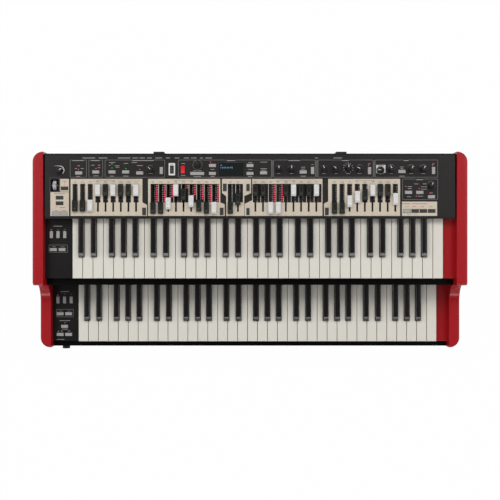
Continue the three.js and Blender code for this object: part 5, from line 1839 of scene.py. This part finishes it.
class ORGAN_OT_knobs(OrganOperator):
    """Fluted knobs with white pointers, and the endless dial"""

    bl_idname = "organ.knobs"
    bl_label = "Knobs"

    def build(self):
        """Makes one piece for each knob."""
        for node in KNOBS:
            low, high = span(node)
            x, y = middle_of(node)
            form = Form()
            self.grip(form, (0.0, 0.0, 0.0), (high[0] - low[0]) / 2)
            self.pointer(form)
            form.turned(Matrix.Translation((x, y, low[2])) @ rotation(KNOB_TURNS.get(node, 0), "Z"))
            in_place_of(node, "turned", form, ("knob_rubber", "white_print"))
        low, high = span("program_dial")
        x, y = middle_of("program_dial")
        form = Form()
        self.grip(form, (0.0, 0.0, 0.0), 8.0, dial=True)
        form.lathe((0.0, 3.4, 13.9), [(1.5, -0.2), (1.5, 0.35), (1.2, 0.5), (1.0, 0.2), (0.02, 0.12)], 20, 1)
        form.turned(Matrix.Translation((x, y, low[2])))
        in_place_of("program_dial", "turned", form, ("knob_rubber", "dim_print"))

    def grip(self, form, middle, radius, dial=False):
        """Skirt and fluted grip."""
        depth = size("knob_flute")
        flutes = bpy.context.scene.organ_sizes.knob_flutes * (2 if dial else 1)

        def wave(angle, height):
            if not FLUTES_FROM <= height <= FLUTES_TO:
                return 1.0
            return 1.0 - depth / 6.0 * (0.5 + 0.5 * math.cos(flutes * angle)) * (0.5 if dial else 1.0)

        skirt = [(radius - drawn, height) for drawn, height in SKIRT_PROFILE]
        form.lathe(middle, skirt + GRIP_PROFILE, 72, 0, wave)

    def pointer(self, form):
        """A white line over the top of the grip, down its side and on to the skirt."""
        form.slab((-0.7, 0.7), (0.6, 5.5), (13.9, 14.55), 0.12, 1)
        start = len(form.points)
        form.slab((-0.7, 0.7), (-0.3, 0.35), (0.0, 9.6), 0.1, 1)
        form.turned(Matrix.Translation((0.0, 6.42, 4.5)) @ rotation(4.9, "X"), start)


# Each mat and the shade of its buttons
MATS = {
    "effects": "grey", "program": "grey", "tone": "grey", "upper_block": "grey", "lower_block": "grey",
    "drawbar_set": "dark", "left_organ": "dark", "right_organ": "grey",
}
# Where a mat has buttons of the other shade: right of an X and before a distance from the panel's front
OTHER_SHADE = {"left_organ": (-INNER_HALF, 22.0), "right_organ": (358.0, 30.0)}


class ORGAN_OT_buttons(OrganOperator):
    """Rubber buttons, each group on its mat"""

    bl_idname = "organ.buttons"
    bl_label = "Buttons"

    def build(self):
        """Makes one piece for each mat."""
        for mat, shade in MATS.items():
            node = mat + "_buttons"
            looks = ("grey_rubber", "dark_rubber") if shade == "grey" else ("dark_rubber", "grey_rubber")
            form = refined(node, size("button_edge"), 3)
            made = in_place_of(node, "moulded", form, looks)
            if mat in OTHER_SHADE:
                left, rear = OTHER_SHADE[mat]
                painted(made, lambda x, y, z: y - PANEL_FRONT < rear and x > left)


LEVER_RADIUS = 11.0
LEVER_HALF = 4.1
LEVER_STEPS = 96
# Where the lever's rim starts and how far it runs, in degrees
LEVER_FROM = -30
LEVER_SWEEP = 240
RIDGES = 24
RIDGE_DEPTH = 0.45


class ORGAN_OT_switches(OrganOperator):
    """Speed lever, the two rockers with their frames, and the mains switch"""

    bl_idname = "organ.switches"
    bl_label = "Lever and Rockers"

    def build(self):
        """Makes the lever, the rockers and the mains switch."""
        self.lever()
        for node, name, look, slot_name in (
            ("white_rocker", "dark_rocker_moulded", "dark_rubber", "button_dark"),
            ("red_rocker", "red_rocker_moulded", "red_plastic", "button_red"),
            ("mains_switch", "mains_switch_moulded", "foot_rubber", "rubber"),
        ):
            piece(name, refined(node, 0.5, 3), (look,), body_of(node), (node,))
        form = Form()
        x, y = middle_of("white_rocker")
        form.hoop(
            rounded(x, PANEL_FRONT + 111.75, 14.4, 27.8, 1.0, 0), rounded(x, y, 8.8, 18.4, 0.5, 0),
            (PANEL_TOP - 0.05, PANEL_TOP + 0.9),
        )
        piece("rocker_frame", form, ("white_cap",))
        mark = Form().stroke(x, PANEL_FRONT + 123.1, 6.0, 1.0, (PANEL_TOP + 0.85, PANEL_TOP + 0.98))
        piece("rocker_frame_mark", mark, ("dark_print",))

    def lever(self):
        """A ridged half wheel of metal."""
        x, y = middle_of("speed_lever")
        pivot = span("speed_lever")[1][2] - LEVER_RADIUS
        ends = [(LEVER_HALF, 0.5), (LEVER_HALF - 0.15, 0.2), (LEVER_HALF - 0.5, 0.0)]
        rings = []
        for offset, inset in [(-offset, inset) for offset, inset in ends] + ends[::-1]:
            ring = []
            for step in range(LEVER_STEPS + 1):
                turned = step / LEVER_STEPS
                angle = math.radians(LEVER_FROM + LEVER_SWEEP * turned)
                ridge = RIDGE_DEPTH * (0.5 - 0.5 * math.cos(2 * math.pi * turned * RIDGES))
                radius = LEVER_RADIUS - inset - ridge
                ring.append((x + offset, y + radius * math.cos(angle), pivot + radius * math.sin(angle)))
            rings.append(ring)
        form = Form()
        form.loft(rings)
        start = len(form.points)
        form.lathe((0, 0, 0), [(1.7, -7.45), (2.0, -7.2), (2.0, 7.2), (1.7, 7.45)], 20)
        form.turned(Matrix.Translation((x, y, pivot)) @ rotation(90, "Y"), start)
        in_place_of("speed_lever", "ridged", form, ("satin_metal",), 40.0)


class ORGAN_OT_display(OrganOperator):
    """Display window with lit numerals, and the panel's small lamps"""

    bl_idname = "organ.display"
    bl_label = "Display and Lamps"

    def build(self):
        """Makes the lens, its numerals and the lamps."""
        low, high = span("display_window")
        lens = Form()
        lens.slab((low[0], high[0]), (low[1], high[1]), (low[2], high[2]), 0.3, corner=0.8)
        piece("display_lens", lens, ("lens",), "root", ("display_window",))
        top = high[2] + 0.02
        left = low[0] + 3.2
        texts = [
            figures("12", 2.7, (left, high[1] - 7.2, top), 0.06, align="LEFT"),
            figures("1 2 3 4 5 6 7 8", 3.3, (left, high[1] - 12.4, top), 0.06, align="LEFT"),
        ]
        piece("display_numerals", gathered("display_numerals", texts), ("figures",))
        for name, places in (("lamp_red", RED_LAMPS), ("lamp_green", GREEN_LAMPS), ("lamp_off", DARK_LAMPS)):
            copies("panel_" + name, lamp_dome(Form(), (0.0, 0.0, 0.0)), [
                (x, PANEL_FRONT + v, PANEL_TOP + 0.1) for x, v in places
            ], (name,))


# Places along the rear wall, as shares of it
JACK_SHARES = (0.11, 0.1446, 0.1954, 0.222, 0.2396, 0.2572, 0.279, 0.3023, 0.3237)
INLET_SHARE = 0.7113
SOCKET_HEIGHT = 29.0


class ORGAN_OT_connectors(OrganOperator):
    """Sockets at the rear, the board behind them and the power supply"""

    bl_idname = "organ.connectors"
    bl_label = "Boards and Sockets"

    def build(self):
        """Makes the boards and the fittings that show at the rear wall."""
        looks = ("board", "block_plastic", "steel")
        made = in_place_of("main_board", "fitted", refined("main_board", 0.25), looks)
        painted(made, lambda x, y, z: 2 if y > REAR_WALL - 2.5 else z > 20.0)
        looks = ("chassis_steel", "block_plastic", "polished")
        made = in_place_of("power_supply", "cased", refined("power_supply", 0.4), looks)

        def inlet(x, y, z):
            aside = abs(x - wall_x(INLET_SHARE))
            depth = REAR_WALL - y
            if aside < 8.2 and abs(z - SOCKET_HEIGHT) < 5.4 and 5.0 < depth < 20.0:
                return 2
            return aside < 13.4 and depth < 20.0

        painted(made, inlet)
        self.rings()

    def rings(self):
        """Washers and numbers at the sockets."""
        xs = [wall_x(share) for share in JACK_SHARES]
        ring_form = collar([(8.4, 0.0), (8.4, 0.3), (8.2, 0.6), (6.35, 0.6), (6.35, 0.0)])
        ring_form.turned(rotation(-90, "X"))
        places = [(x, REAR_WALL, SOCKET_HEIGHT) for x in xs]
        copies("jack_washers", ring_form, places, ("steel", "steel"), angle=40.0)
        numerals = []
        for index, x in enumerate(xs):
            mesh = figures(str(index + 1), 3.2, (0.0, 0.0, 0.0), 0.12)
            place = Matrix.Translation(Vector((x, REAR_WALL + 0.03, SOCKET_HEIGHT + 13.5)) * MM)
            mesh.transform(place @ rotation(180, "Z") @ rotation(90, "X"))
            numerals.append(mesh)
        piece("socket_numerals", gathered("socket_numerals", numerals), ("white_print",))


class ORGAN_PT_panel(bpy.types.Panel):
    """Lists the organ's pieces, sizes and colours"""

    bl_idname = "ORGAN_PT_panel"
    bl_label = "Organ"
    bl_space_type = "VIEW_3D"
    bl_region_type = "UI"
    bl_category = "Organ"

    def draw(self, context):
        """Draws a button for each kind of piece, then the sizes and colours."""
        column = self.layout.column(align=True)
        for operator in PIECES:
            column.operator(operator.bl_idname)
        for group in (context.scene.organ_sizes, context.scene.organ_colours):
            box = self.layout.box()
            for name in group.__annotations__:
                box.prop(group, name)


PIECES = (
    ORGAN_OT_stage, ORGAN_OT_cheeks, ORGAN_OT_cabinet, ORGAN_OT_manuals, ORGAN_OT_blocks, ORGAN_OT_panel,
    ORGAN_OT_windows, ORGAN_OT_drawbars, ORGAN_OT_knobs, ORGAN_OT_buttons, ORGAN_OT_switches,
    ORGAN_OT_display, ORGAN_OT_connectors,
)
CLASSES = (OrganSizes, OrganColours) + PIECES + (ORGAN_PT_panel,)


def register():
    """Registers the classes and hangs the property groups on the scene."""
    for each in CLASSES:
        bpy.utils.register_class(each)
    bpy.types.Scene.organ_sizes = bpy.props.PointerProperty(type=OrganSizes)
    bpy.types.Scene.organ_colours = bpy.props.PointerProperty(type=OrganColours)


def unregister():
    """Takes the property groups and the classes away again."""
    del bpy.types.Scene.organ_colours
    del bpy.types.Scene.organ_sizes
    for each in reversed(CLASSES):
        bpy.utils.unregister_class(each)


def main():
    """Builds the whole organ."""
    register()
    for operator in PIECES:
        group, name = operator.bl_idname.split(".")
        result = getattr(getattr(bpy.ops, group), name)()
        if "FINISHED" not in result:
            raise RuntimeError(operator.bl_idname + " didn't finish")
    bpy.context.view_layer.update()


if __name__ == "__main__":
    main()
